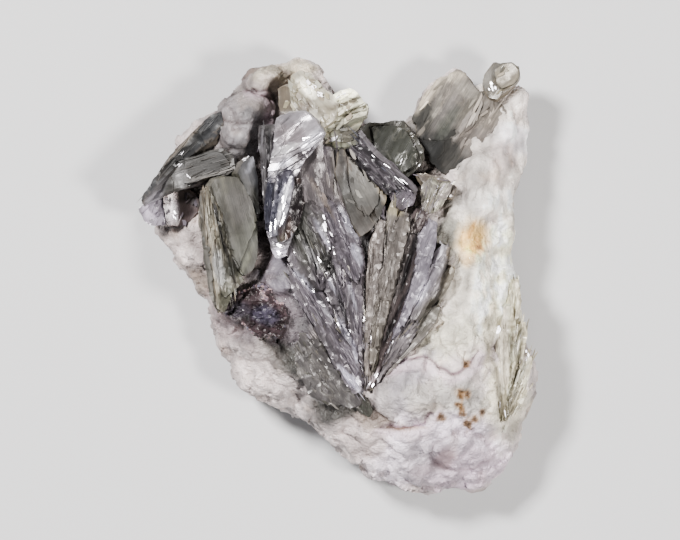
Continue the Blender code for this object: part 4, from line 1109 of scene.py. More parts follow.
@dataclass
class QuartzBlock:
    """The loose block: broad rounded back, broken show face, two horns, a fin and a dome."""

    node: str = "matrix"
    slot: str = "quartz"
    cell: float = 0.5  # grain of its mesh
    slab_height: float = 20.0  # of the flat slab that it is shaped from
    slab_cell: float = 0.9  # and the grain of that slab
    shoulder: float = 7.0  # how far in from the outline the show face starts to fall away
    back_shoulder: float = 12.0  # the same on the back
    rim_share: float = 0.48  # height of the rim, as a share of the thickness there
    rim_wall: float = 0.17  # half the height of the rim's own wall, as a share of the thickness
    bed: float = 1.0  # it is shaped this much too deep, and its rest face is cut there
    tint: Colour = (0.40, 0.35, 0.34)
    finish: QuartzFinish = field(default_factory=QuartzFinish)
    stains_and_painted_light: tuple[StainOrPaintedLight, ...] = stains_and_painted_light(
        (-33, 4, 9, 9, 31, 26.5, 25.5), (-30, -1, 6, 1.6, 14, 11.5, 10, 0.8, -50),
        (-35, 6, 4, 2, 62, 54, 52, 0.8, -50), (-24, -13, 9, 6, 25, 20.5, 20.5, 1, -40),
        (-19, -20, 11, 3, 42, 36.5, 35.5, 1, -30), (-27, -1, 3, 5, 22, 18, 15, 0.7, -60),
        (-12, -15, 12, 6, 13, 11.5, 10.8, 1, -48), (-6, -19, 11, 5.5, 5, 4.7, 4.2, 1, -52),
        (-9, -27, 7, 3.5, 32, 28, 27.5, 1, -30), (0, -28, 6, 5, 6, 5.5, 5),
        (-9.5, -6, 6, 9, 5, 4.2, 4.7, 1, 15, 0.55, 0.6), (-14, 1, 5, 5, 10, 9, 10.5, 1, 0, 0.55, 0.9),
        (-18, -8, 7.5, 6, 10, 8, 9, 0.9, -20, 0.55, 0.4), (-20, 34, 9, 13, 11.8, 11, 11.4, 1, 0, 0.55, 0.8),
        (-19, 42, 7, 5, 22, 19, 18, 1, 0, 0.55, 0.6), (-11, 46, 8, 4, 34, 30, 24),
        (-25, 34, 3, 7, 16.5, 14.8, 15, 1, 0, 0.55, 0.7), (-21, 29, 4, 4, 19, 17.8, 18.5, 1, 0, 0.55, 0.9),
        (-14, 38, 4, 6, 13, 11.5, 11, 1, 60, 0.55, 0.8), (-13.8, 42.8, 3, 2.4, 34, 30, 27, 0.9, 0, 0.55, 0.5),
        (34, 26, 9, 20, 58, 53, 49, 1, 0, 0.55, 0.4), (38, 31, 3, 10, 70, 66, 68, 1, 80, 0.55, 0.8),
        (34.5, 27.5, 3.4, 5.5, 30, 25, 24, 0.8, 60, 0.55, 0.9), (31, 21, 3, 7, 32, 27.5, 25, 0.85, 80, 0.55, 0.8),
        (27, 17, 3, 7, 22, 19, 18, 0.9, 80, 0.55, 0.5), (35, 17, 3, 9, 70, 66, 62, 0.9, 90, 0.55, 0.4),
        (32, -2, 8, 14, 80, 75, 66), (38, -3, 3, 14, 70, 66, 50, 0.8), (26.5, 0, 3, 12, 36, 33, 29, 0.8, -8),
        (23, 5, 2.6, 9, 13, 12.5, 10.5, 0.9, -10), (30.2, 8.2, 4.2, 3, 58, 36, 10, 0.95, 60, 1.0),
        (29.2, 10, 2.6, 0.5, 40, 22, 6, 0.8, 70, 0.5), (31.2, 7.4, 2, 0.5, 36, 19, 5, 0.8, -60, 0.5),
        (27.8, 7.6, 1.6, 0.6, 50, 36, 16, 0.7, 20, 0.5), (31, 6.6, 0.7, 0.5, 20, 10, 4, 0.9, 0, 0.8),
        (24, -14, 8, 4, 60, 57, 46, 0.7, 20), (15, -25, 9, 8, 27, 24.5, 26.5, 1, 0, 0.55, 0.3),
        (24, -27, 9, 6, 28, 26, 24.5, 1, 0, 0.55, 0.2), (9, -28, 4, 7, 24, 21.5, 21, 0.8, 0, 0.55, 0.2),
        (24, -37, 15, 6, 52, 45.5, 51.5), (14, -33.5, 5.4, 0.4, 26, 17, 10, 0.9, 2, 0.4),
        (27, -43, 14, 5, 42, 34.5, 40), (14, -41, 8, 5, 55, 49, 54),
        (23.6, -40.4, 3.2, 2.2, 17, 12, 13, 0.9, 50, 0.55, 0.7), (19, -43, 3, 1.6, 20, 15.5, 17.5, 0.8, 20, 0.55, 0.7),
        (5, -36, 6, 4, 34, 29, 28.5, 0.9, -30), (8, -32, 4, 2.4, 15, 11.5, 9, 0.7, -20),
        (38, -28, 5, 9, 55, 51, 42, 0.8), (33.4, -13, 9, 1.4, 42, 38, 28, 0.7, 82),
        (34.6, -24, 7, 1.0, 32, 29, 22, 0.7, 95), (-24, -6, 5, 3.4, 17, 12.5, 13, 0.8, -20),
        # The last four entries, near black, are painted shade in the gaps between the mica crystals: in the saddle,
        # round the green plate and the small books, under the silver blade and the central fan's top, and between the
        # left book and the silver blade.
        (30.6, 27.4, 10, 3.4, 31, 28.5, 26.5, 0.9, 66, 0.55, 0.5), (20, 31, 7, 8, 12, 11, 10, 0.9),
        (16, 22, 7, 5, 7, 5.5, 5, 0.9), (-5, 22, 14, 12, 10, 8.5, 8.5, 0.9), (-17, 16, 4, 14, 6.5, 5, 5, 0.9))
    pits: tuple[Place, ...] = ((27.2, -25.5), (26.8, -26.4), (26.3, -28.2), (27.2, -29.1), (27.4, -30.2), (32.1, -30),
                               (30.1, -31.4), (28.8, -32.7), (28.5, -25.8), (22.8, -31.1), (28.1, -19.3))
    pit_depth: float = 0.7
    pit_radius: float = 0.55
    pit_tint: Colour = (0.05, 0.025, 0.01)
    pit_halo: Colour = (0.22, 0.125, 0.05)
    # The purple-grey colour painted along each ledge's upper edge as shade.
    ledge_lip_shade: Colour = (0.52, 0.42, 0.47)
    bedding: float = 0.8  # how far under a sheet's face the quartz is sunk
    lap: float = 1.3  # how high the quartz stands over that where it laps round a sunken sheet
    brightness: float = 1.42
    whitest: float = 0.92
    contrast: float = 1.12

    @staticmethod
    def on_fin(points: np.ndarray) -> np.ndarray:
        """How far each point belongs to the fin, from 0 to 1."""
        return np.clip((points[:, 0] - 22) / 6, 0, 1) * np.clip((points[:, 1] + 16) / 8, 0, 1)

    def surfaces(self, places: np.ndarray) -> tuple[np.ndarray, np.ndarray]:
        """Heights of the show face and of the back at each place, with the rim between them."""
        inset, _ = distance_to_path(places, OUTLINE, closed=True)
        flat = np.column_stack([places, np.zeros(len(places))])
        face = Relief(FACE_HEIGHTS).at(places) - self.ledge_drop(places) + self.lump_rise(places)
        face += 0.75 * facets(flat, 10.0, 3)
        back = np.maximum(Relief(BACK_HEIGHTS).at(places) + facets(flat, 10.0, 11), 0)
        middle = back + self.rim_share * (face - back)
        wall = self.rim_wall * (face - back)
        ripple = 1 + 0.35 * facets(flat, 6, 23)
        front = middle + wall + (face - middle - wall) * self.rounded(inset / (self.shoulder * ripple))
        rear = middle - wall - (middle - wall - back) * self.rounded(inset / (self.back_shoulder * ripple))
        return front, rear

    @staticmethod
    def rounded(share: np.ndarray) -> np.ndarray:
        """A quarter-round profile: 0 at the rim and 1 from a share of 1 on."""
        return np.sqrt(1 - (1 - np.clip(share, 0, 1)) ** 2)

    @staticmethod
    def lump_rise(places: np.ndarray) -> np.ndarray:
        """How far the lumps stand out of the show face at each place."""
        rise, groove = np.zeros(len(places)), np.zeros(len(places))
        for lump in LUMPS:
            away = from_lump(places, lump)
            rise = np.maximum(rise, 1.6 * lump[4] * np.sqrt(np.clip(1 - away ** 2, 0, 1)))
            groove = np.maximum(groove, 0.5 * lump[4] * np.exp(-(((away - 1.06) / 0.09) ** 2)))
        return rise - groove

    @staticmethod
    def ledge_drop(places: np.ndarray) -> np.ndarray:
        """How much the ledges lower the show face at each place."""
        drop = np.zeros(len(places))
        for depth, path in LEDGES:
            distance, side = distance_to_path(places, path)
            fade = np.clip(1 - distance / 7, 0, 1)
            drop += depth * fade * np.clip(0.5 + side * distance / 0.8, 0, 1)
        return drop

    def slab(self) -> bpy.types.Object:
        """A flat slab over the outline, with a ragged edge."""
        ring = ragged(resampled(OUTLINE, 0.8, True), 0.35, True, 5)
        curve = bpy.data.curves.new("quartz_outline", "CURVE")
        curve.dimensions = "2D"
        curve.fill_mode = "BOTH"
        curve.extrude = self.slab_height * MM / 2
        spline = curve.splines.new("POLY")
        spline.points.add(len(ring) - 1)
        spline.use_cyclic_u = True
        for point, (x, y) in zip(spline.points, ring):
            point.co = (x * MM, y * MM, 0, 1)
        drawn = linked("quartz_outline", curve)
        mesh = evaluated(drawn)
        bpy.data.objects.remove(drawn)
        mended(mesh, 0.01 * MM)
        return linked("quartz", mesh)

    @staticmethod
    def regrained(obj: bpy.types.Object, cell: float) -> None:
        """Gives an object's mesh an even grain."""
        modifier = obj.modifiers.new("grain", "REMESH")
        modifier.mode = "VOXEL"
        modifier.voxel_size = cell * MM
        shaped = evaluated(obj)
        obj.modifiers.clear()
        obj.data = shaped

    @staticmethod
    def read(mesh: bpy.types.Mesh) -> np.ndarray:
        """A mesh's points as rows of millimetres."""
        points = np.empty(len(mesh.vertices) * 3)
        mesh.vertices.foreach_get("co", points)
        return points.reshape(-1, 3) / MM

    @staticmethod
    def write(mesh: bpy.types.Mesh, points: np.ndarray) -> None:
        """Puts rows of millimetres back into a mesh."""
        mesh.vertices.foreach_set("co", (points * MM).ravel())
        mesh.update()

    def roughness_of_face(self, points: np.ndarray, waxy: np.ndarray) -> np.ndarray:
        """How far the broken quartz stands out of its smooth form at each point."""
        fin = self.on_fin(points)
        fibres = waves(points / (1.1, 9.0, 4.0), 1.0, 51) + 0.6 * waves(points / (0.6, 4.0, 2.0), 1.0, 52)
        sugar = 0.26 * waves(points, 1.6, 53) + 0.42 * facets(points, 2.6, 54, 3.0) + 0.1 * waves(points, 0.9, 56)
        broad = (0.5 * waves(points, 4.2, 55) + 0.7 * facets(points, 5.0, 57, 3.0)) * (1 - 0.8 * waxy)
        return broad + sugar * (1 - 0.75 * waxy) * (1 - 0.5 * fin) + 0.3 * fin * fibres

    def dressed(self, effects: Effects, mica: list[Sheet]) -> None:
        """Builds the block with its finish.

        Args:
            effects: the shared shader groups.
            mica: every sheet that lies on the block or in it.
        """
        block = self.slab()
        self.regrained(block, self.slab_cell)
        points = self.read(block.data)
        front, rear = self.surfaces(points[:, :2])
        points[:, 2] = rear + (front - rear) * np.clip(points[:, 2] / self.slab_height + 0.5, 0, 1)
        self.write(block.data, points)
        self.regrained(block, self.cell)
        points = self.read(block.data)
        normals = np.array([v.normal[:] for v in block.data.vertices])
        tint, waxy = self.coloured(points, normals)
        upward = np.clip(normals[:, 2] * 2, 0, 1)
        waxy *= upward
        points += normals * (0.6, 0.6, 1) * self.roughness_of_face(points, waxy)[:, None]
        points[:, 2] = np.maximum(points[:, 2], self.bed) - self.bed
        for place in self.pits:
            away = np.hypot(points[:, 0] - place[0], points[:, 1] - place[1])
            points[:, 2] -= self.pit_depth * np.exp(-((away / self.pit_radius) ** 2)) * upward
        self.clear_for(points, normals, mica)
        self.write(block.data, points + CENTRED)
        mesh = block.data
        stored(mesh, tint=tint, edge=waxy)
        mesh.shade_smooth()
        mesh.materials.clear()
        mesh.materials.append(self.finish.made(effects))
        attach(block, "root")
        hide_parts(self.node)
        LOG.info("%s: %d faces", block.name, len(mesh.polygons))

    def clear_for(self, points: np.ndarray, normals: np.ndarray, mica: list[Sheet]) -> None:
        """Sinks the face under each sheet, so that the mica lies in its own bed."""
        for sheet in mica:
            flat = points[:, :2]
            held = inside(flat, sheet.outline) & (normals[:, 2] > 0.05)
            bed = sheet.top(flat) - self.bedding
            if sheet.sunken:
                away, _ = distance_to_path(flat[held], sheet.outline, closed=True)
                lap = np.clip(1 - away / sheet.sunken, -0.2, 1) + 0.5 * waves(flat[held], 1.7, 91)
                bed[held] += self.lap * np.clip(lap, 0, 1.2)
            points[:, 2] = np.where(held & (points[:, 2] > bed), bed, points[:, 2])

    def coloured(self, points: np.ndarray, normals: np.ndarray) -> tuple[np.ndarray, np.ndarray]:
        """Each point's tint, with painted shade at the ledges, round the lumps and in the gaps between the crystals,
        and how waxy the quartz is there.
        """
        tint = np.tile(self.tint, (len(points), 1))
        waxy = np.zeros(len(points))
        places = points[:, :2]
        shown = np.clip(normals[:, 2] * 1.5 + 0.6, 0, 1)
        for patch in self.stains_and_painted_light:
            share = patch.share(places) * shown
            tint = blended(tint, patch.tint(), share)
            waxy += (patch.smooth - waxy) * share
        tint *= 1 + 0.3 * waves(points, 5.0, 61)[:, None] + 0.3 * waves(points, 1.9, 62)[:, None]
        fin = self.on_fin(points)
        tint *= 1 + (0.2 * fin * waves(points / (0.8, 6.0, 3.0), 1.0, 70))[:, None]
        warm = np.clip(waves(points, 3.2, 63) - 0.35, 0, 1)[:, None]
        tint *= 1 - warm * (0.05, 0.14, 0.24)
        ragged_by = 0.5 * np.column_stack([waves(places, 2.2, 68), waves(places, 2.2, 69)])
        # Painted shade at each ledge: a dark streak at its foot stands for the shadow that the ledge casts, and a
        # purple-grey band along its upper edge for the shade on that edge.
        for _, path in LEDGES:
            away, side = distance_to_path(places + ragged_by, path)
            shade_line = np.exp(-(((away - 0.35 * side) / 0.4) ** 2)) * 0.8
            tint *= 1 - shade_line[:, None] * (0.9, 1.0, 0.95)
            lip_shade = np.exp(-(((away + side * 0.9) / 1.0) ** 2)) * (side < 0) * 0.6
            tint = blended(tint, self.ledge_lip_shade, lip_shade)
        # Painted shade in the crease round each lump, deeper where the lump stands out more.
        for lump in LUMPS:
            away = from_lump(places, lump)
            shade_line = 0.62 * min(lump[4] / 1.9, 1) ** 2 * np.exp(-(((away - 1.04) / 0.1) ** 2))
            tint *= 1 - shade_line[:, None] * (0.92, 1, 1)
        for place in self.pits:
            away = np.hypot(points[:, 0] - place[0], points[:, 1] - place[1])
            away *= 1 + 0.5 * waves(places, 0.8, 65)
            for reach, colour in ((0.95, self.pit_halo), (0.66, self.pit_tint)):
                tint = blended(tint, colour, np.exp(-((away / reach) ** 4)) * shown)
        return np.clip(tint * self.brightness, 0, self.whitest) ** self.contrast, waxy


# ---------------------------------------------------------------- the mica pieces


def cut_back(points: np.ndarray, higher: list[Sheet]) -> None:
    """Sinks the points that stand above another crystal's sheet, where that crystal grew first."""
    for sheet in higher:
        flat = points[:, :2]
        bed = sheet.top(flat) - CUT_DEPTH
        low = points[:, 2] > bed
        if low.any():
            held = low & inside(flat, sheet.outline)
            points[:, 2] = np.where(held, bed, points[:, 2])


@dataclass(frozen=True)
class Scatter:
    """How loose flakes lie on a crystal's faces."""

    count: int
    length: Place = (1.2, 4.5)
    width: Place = (0.25, 0.8)
    thick: Place = (0.15, 0.35)
    spread: float = 7.0  # how far their headings stray, in degrees
    lean: float = 14.0  # how far they roll off the face, in degrees
    # the flakes that face the light also take a near-white tint, a painted highlight
    bright: float = 0.12  # the share that faces the light
    tints: tuple[Colour, ...] = ((0.32, 0.29, 0.31), (0.42, 0.39, 0.40), (0.24, 0.21, 0.22), (0.40, 0.36, 0.29))
    zone: Path | None = None  # where they lie, if not all over the sheets
    lift: float = 0.1  # how far they stand off the face


@dataclass
class MicaCrystal:
    """One crystal, or a group that grew as one: its sheets and the flakes that lie loose on them."""

    node: str
    slot: str
    sheets: list[Sheet]
    finish: MicaFinish
    scatters: tuple[Scatter, ...] = ()
    flashes: tuple[tuple[float, float, float, float, float], ...] = ()  # from (x, y) to (x, y), and how wide
    # Patches laid over the sheets' tints: some are the mica's own colours, others are painted highlights and painted
    # shade, as each crystal notes.
    tints_and_painted_light: tuple[StainOrPaintedLight, ...] = ()
    crease: float = 24  # faces that meet at more than this many degrees have a sharp edge between them
    slivers: int = 4  # to each flash
    toward_light: tuple[float, float, float] = (-0.21, 0.19, 0.96)

    def dressed(self, effects: Effects, field_of_flakes: FlakeField, quartz: Relief, higher: list[Sheet]) -> None:
        """Builds the crystal with its finish.

        Args:
            effects: the shared shader groups.
            field_of_flakes: what sets the loose flakes.
            quartz: heights of the quartz that it is rooted in.
            higher: the sheets of the crystals that it was cut back from.
        """
        gathering = Gathering()
        for sheet in self.sheets:
            sheet.drawn(gathering, quartz)
        for number, part in enumerate(gathering.points):
            self.settle(number, part)
            cut_back(part, higher)
            gathering.tint[number] = washed(gathering.tint[number] * DEPTH_OF_TONE, part, self.tints_and_painted_light) ** CONTRAST
        piece = gathering.built(self.node + "_mica", self.crease)
        material = self.finish.made(effects)
        piece.data.materials.append(material)
        made = [piece]
        flakes = self.loose(higher)
        if len(flakes.place):
            made.append(field_of_flakes.grown(self.node + "_flakes", flakes, material))
        for obj in made:
            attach(obj, "root")
            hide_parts(self.node)
            LOG.info("%s: %d faces", obj.name, len(obj.data.polygons))

    def settle(self, number: int, points: np.ndarray) -> None:
        """Lowers the points of one sheet that lie under the crystal's other sheets, so that none shows through."""
        others = [sheet for order, sheet in enumerate(self.sheets) if order != number]
        if others:
            over, _ = self.envelope(points[:, :2], others)
            lead = over - self.sheets[number].top(points[:, :2])
            lowered = np.minimum(points[:, 2], over - np.clip(lead * 1.6, 0, 0.9))
            points[:, 2] = np.where(lead > 0, lowered, points[:, 2])

    def envelope(self, places: np.ndarray, sheets: list[Sheet]) -> tuple[np.ndarray, np.ndarray]:
        """The highest sheet at each place.

        Args:
            places: rows of (x, y).
            sheets: the sheets to look through.

        Returns:
            Heights, and the number of the sheet, which is -1 where there is none.
        """
        height = np.full(len(places), -np.inf)
        which = np.full(len(places), -1)
        for number, sheet in enumerate(sheets):
            top = sheet.top(places)
            wins = inside(places, sheet.outline) & (top > height)
            height = np.where(wins, top, height)
            which = np.where(wins, number, which)
        return height, which

    def loose(self, higher: list[Sheet]) -> Flakes:
        """Works out where the loose flakes sit."""
        chance = np.random.default_rng(self.sheets[0].salt + 101)
        rows = [self.scattered(scatter, chance, higher) for scatter in self.scatters]
        if self.flashes:
            rows.append(self.flash_rows(chance))
        if not rows:
            return Flakes(*(np.zeros((0, 3)) for _ in range(4)), np.zeros(0))
        return Flakes(*(np.concatenate([row[k] for row in rows]) for k in range(5)))

    def flash_rows(self, chance: np.random.Generator) -> tuple[np.ndarray, ...]:
        """Slivers at the places where the crystal flashes most, a few to each."""
        marks = np.repeat(np.array(self.flashes, float), self.slivers, axis=0)
        count = len(marks)
        run, width = marks[:, 2:4] - marks[:, :2], marks[:, 4]
        length = np.hypot(run[:, 0], run[:, 1])
        aside = np.column_stack([-run[:, 1], run[:, 0]]) * (width * chance.uniform(-0.7, 0.7, count) / length)[:, None]
        middle = marks[:, :2] + run * chance.uniform(0.08, 0.92, (count, 1)) + aside
        height, _ = self.envelope(middle, self.sheets)
        look = np.array(self.toward_light) + chance.normal(0, 0.04, (count, 3))
        look /= np.linalg.norm(look, axis=1)[:, None]
        size = np.column_stack([length * chance.uniform(0.2, 0.5, count), width * chance.uniform(0.3, 0.75, count),
                                np.full(count, 0.2)])
        # The slivers take the near-white tint, a painted highlight on top of their real tilt toward the light.
        tint = np.broadcast_to(FLASH, (count, 3))
        place = np.column_stack([middle, np.where(np.isfinite(height), height, 28) + 0.3])
        heading = np.arctan2(run[:, 1], run[:, 0]) + chance.normal(0, 0.16, count)
        return place, facing(heading, look), size, tint, chance.integers(0, len(Cut), count)

    def scattered(self, scatter: Scatter, chance: np.random.Generator, higher: list[Sheet]) -> tuple[np.ndarray, ...]:
        """One scatter's rows of place, turn, size, tint and shape.

        Args:
            scatter: how its flakes lie.
            chance: the source of its random numbers.
            higher: the sheets of the crystals that this one was cut back from.

        Returns:
            The rows.
        """
        corners = np.concatenate([np.array(scatter.zone or sheet.outline, float) for sheet in self.sheets])
        places = chance.uniform(corners.min(axis=0), corners.max(axis=0), (scatter.count * 8, 2))
        height, which = self.envelope(places, self.sheets)
        cover, _ = self.envelope(places, higher)
        kept = (which >= 0) & (height > cover)
        if scatter.zone:
            kept &= inside(places, scatter.zone)
        places, height, which = (values[kept][: scatter.count] for values in (places, height, which))
        count = len(places)
        slopes = np.array([self.sheets[k].slope for k in which])
        heading = np.array([self.sheets[k].heading for k in which]) + chance.normal(0, scatter.spread, count)
        look = np.column_stack([-slopes, np.ones(count)])
        look[:, :2] += chance.normal(0, math.radians(scatter.lean), (count, 2))
        bright = chance.uniform(size=count) < scatter.bright
        toward = np.array(self.toward_light) + chance.normal(0, 0.05, (count, 3))
        look = np.where(bright[:, None], toward, look)
        look /= np.linalg.norm(look, axis=1)[:, None]
        spans = (scatter.length, scatter.width, scatter.thick)
        size = np.column_stack([chance.uniform(*span, count) for span in spans])
        tint = np.array(scatter.tints)[chance.integers(0, len(scatter.tints), count)]
        tint *= chance.uniform(0.8, 1.2, (count, 1))
        tint = washed(tint * DEPTH_OF_TONE, places, self.tints_and_painted_light) ** CONTRAST
        # Flakes that face the light take the near-white tint, a painted highlight on top of their real tilt.
        tint = np.where(bright[:, None], GLEAM, tint)
        place = np.column_stack([places, height + scatter.lift + chance.uniform(-0.15, 0.15, count)])
        turn = facing(np.radians(heading), look)
        return place, turn, size, np.clip(tint, 0, 1), chance.integers(0, len(Cut), count)


# ---------------------------------------------------------------- the crystals, in the order that they grew

DEPTH_OF_TONE = 0.6  # the sheets' tints are this much deeper than named
CONTRAST = 1.35  # and their dark marks are darker by this power
# Near-white tints for flakes tilted toward the key light: the tilt gives them a real reflection, and the pale tint
# paints a highlight on them as well.
FLASH = (0.80, 0.77, 0.82)
GLEAM = (0.78, 0.75, 0.80)
LILAC = (0.40, 0.36, 0.41)
PEARL = (0.66, 0.63, 0.67)
SILVER = (0.40, 0.385, 0.40)
STEEL = (0.25, 0.25, 0.29)
OLIVE = (0.24, 0.225, 0.19)
SMOKE = (0.13, 0.12, 0.11)
GOLD = (0.62, 0.56, 0.42)
CREAM = (0.62, 0.60, 0.50)
TAN = (0.46, 0.40, 0.32)
GREEN = (0.085, 0.088, 0.07)
ASH = (0.34, 0.32, 0.30)


def silver_blade() -> MicaCrystal:
    """The highest blade: a broad pearly plate, diagonal steps, and ridges that run down to a bright stepped end."""
    smooth = {"breaks": (5, 5, 1, 0.14), "ripple": 0.35}
    plate = Sheet([(-13.6, 34.6), (-10.8, 35.9), (-7.4, 36.2), (-4.6, 34), (-3.2, 31.4), (-3.9, 29.4), (-7.2, 25.8),
        (-9.2, 22.4), (-12, 21.4), (-15.6, 20.4), (-15.4, 24), (-14.3, 28.2), (-14, 32)], (-9, 30, 35.2), (0.08, 0.1),
        4, 38, (0.66, 0.62, 0.66), PEARL, salt=11, steps=(Step([(-15.4, 26.6), (-11.6, 27), (-8.4, 28.6),
        (-4.4, 31.6)], 0.5, 5), Step([(-15.6, 25), (-11.8, 25.4), (-8.6, 27.2), (-6.2, 28.4)], 0.4, 4),
        Step([(-15.6, 23.2), (-12, 23.6), (-8.4, 25.8)], 0.5, 4), Step([(-15.6, 21.6), (-12, 22), (-9, 23.8)], 0.5, 4),
        Step([(-13.2, 35), (-11.6, 31), (-12.6, 28)], -0.3, 3)), **smooth)
    left_ridge = Sheet([(-15, 24), (-15.8, 20), (-16.4, 15), (-16.1, 10.6), (-14.6, 9.6), (-13.4, 16), (-12.6, 22)],
        (-15, 16, 32.8), (0.5, 0.05), 4, 84, (0.2, 0.19, 0.23), STEEL, breaks=(14, 7, 0.6, 0.3), salt=14)
    middle_ridge = Sheet([(-13.4, 23), (-14, 18), (-15.2, 12), (-15.2, 8.6), (-12.8, 9.4), (-11, 15), (-9.8, 20),
        (-10.2, 23.4)], (-12.6, 16, 33.8), (0.1, 0.05), 4.5, 78, (0.36, 0.35, 0.4), SILVER, salt=15,
        breaks=(10, 8, 0.7, 0.3), ripple=0.6)
    right_ridge = Sheet([(-11.2, 22.6), (-12, 16), (-13.2, 10), (-12.6, 7.6), (-10.6, 8.6), (-8.4, 12), (-7.4, 16.6),
        (-8.4, 21.6)], (-11, 16, 33.2), (-0.5, 0.05), 4, 80, (0.15, 0.11, 0.1), OLIVE, breaks=(10, 6, 0.8, 0.2),
        salt=16)
    end = Sheet([(-15.9, 11.6), (-15.4, 8.6), (-14.5, 5.4), (-13.9, 4.2), (-12.8, 4), (-11.8, 4.5), (-11.1, 6.6),
        (-10.2, 9.4), (-11, 12)], (-13, 8, 32.2), (0.1, 0.1), 5, 10, (0.62, 0.58, 0.62), PEARL,
        breaks=(16, 3, 0.8, 0.3), salt=17, steps=(Step([(-16, 8.4), (-13, 7.6), (-10.4, 8.2)], 0.6), Step([(-16, 6.6),
        (-13, 5.8), (-10.4, 6.6)], 0.6)))
    upright = Sheet([(-17.6, 33.4), (-17.8, 30.6), (-17.2, 26), (-16.8, 20), (-16.4, 14), (-15.4, 16), (-15, 24),
        (-14.6, 30), (-14, 33.4)], (-16.2, 26, 29.2), (0.6, 0.02), 5, 88, (0.16, 0.145, 0.145), SILVER,
        breaks=(20, 8, 0.35, 0.35), salt=18)
    flashes = ((-11.6, 18.6, -13.6, 10.4, 0.8), (-10.6, 18.4, -12.4, 11.6, 0.4), (-14.6, 12, -14.9, 9.4, 0.6),
        (-13.6, 6.9, -11.6, 6.7, 0.9), (-13.7, 5.4, -12.2, 5.2, 0.7), (-16.3, 28, -16.2, 24.2, 0.25),
        (-8.2, 30, -5.4, 30.6, 0.6))
    # Of these patches, the near-white ones paint highlights on the upright's edge, on the plate's steps and lower
    # right edge, on the two long ridges and on the stepped end; the near-black ones paint the shade beside the
    # upright, under the plate's lower edge, in the steps, in the gaps between the ridges and on the right facet; the
    # brownish one in the plate's middle is its own colour.
    tints_and_painted_light = stains_and_painted_light((-16.9, 27, 6, 0.3, 42, 40, 43, 0.9, 88), (-15.4, 27, 6, 0.4, 5, 4.5, 5, 0.9, 88),
        (-10.6, 31, 2.6, 3.4, 24, 21, 22, 0.75, 60), (-5.4, 30.6, 3, 1.1, 66, 65, 70, 0.9, 40),
        (-12.4, 27.6, 3.6, 0.7, 72, 70, 72, 0.8, 25), (-9.4, 25.6, 2.6, 1.2, 9, 8, 8.5, 0.9, 40),
        (-13, 24.4, 2.6, 0.6, 55, 54, 60, 0.9, 30), (-12.6, 22.4, 2.8, 0.6, 10, 9, 11, 0.8, 30),
        (-15.3, 17, 6, 0.8, 6, 6, 8.5, 0.9, 86), (-12.8, 15.4, 7, 2.2, 11, 10.5, 13.5, 0.85, 76),
        (-12.6, 14.6, 5.2, 0.5, 80, 79, 84, 1, 74), (-11.2, 15.4, 4, 0.35, 60, 58, 62, 0.9, 74),
        (-13.9, 14.6, 5, 0.4, 5, 5, 7, 0.9, 76), (-9, 15.6, 5, 1.4, 5, 4, 4.5, 0.95, 84),
        (-12.6, 5.2, 2, 1.4, 72, 68, 76))
    return MicaCrystal("silver_blade", "silver_mica", [plate, left_ridge, middle_ridge, right_ridge, end, upright],
        MicaFinish("silver_blade_mica", 0.5, 0.2, 0.4), (
        Scatter(46, (1.6, 5), (0.15, 0.4), (0.05, 0.12), 5, 4, 0.03, tints=(PEARL, SILVER, LILAC)),), flashes, tints_and_painted_light)


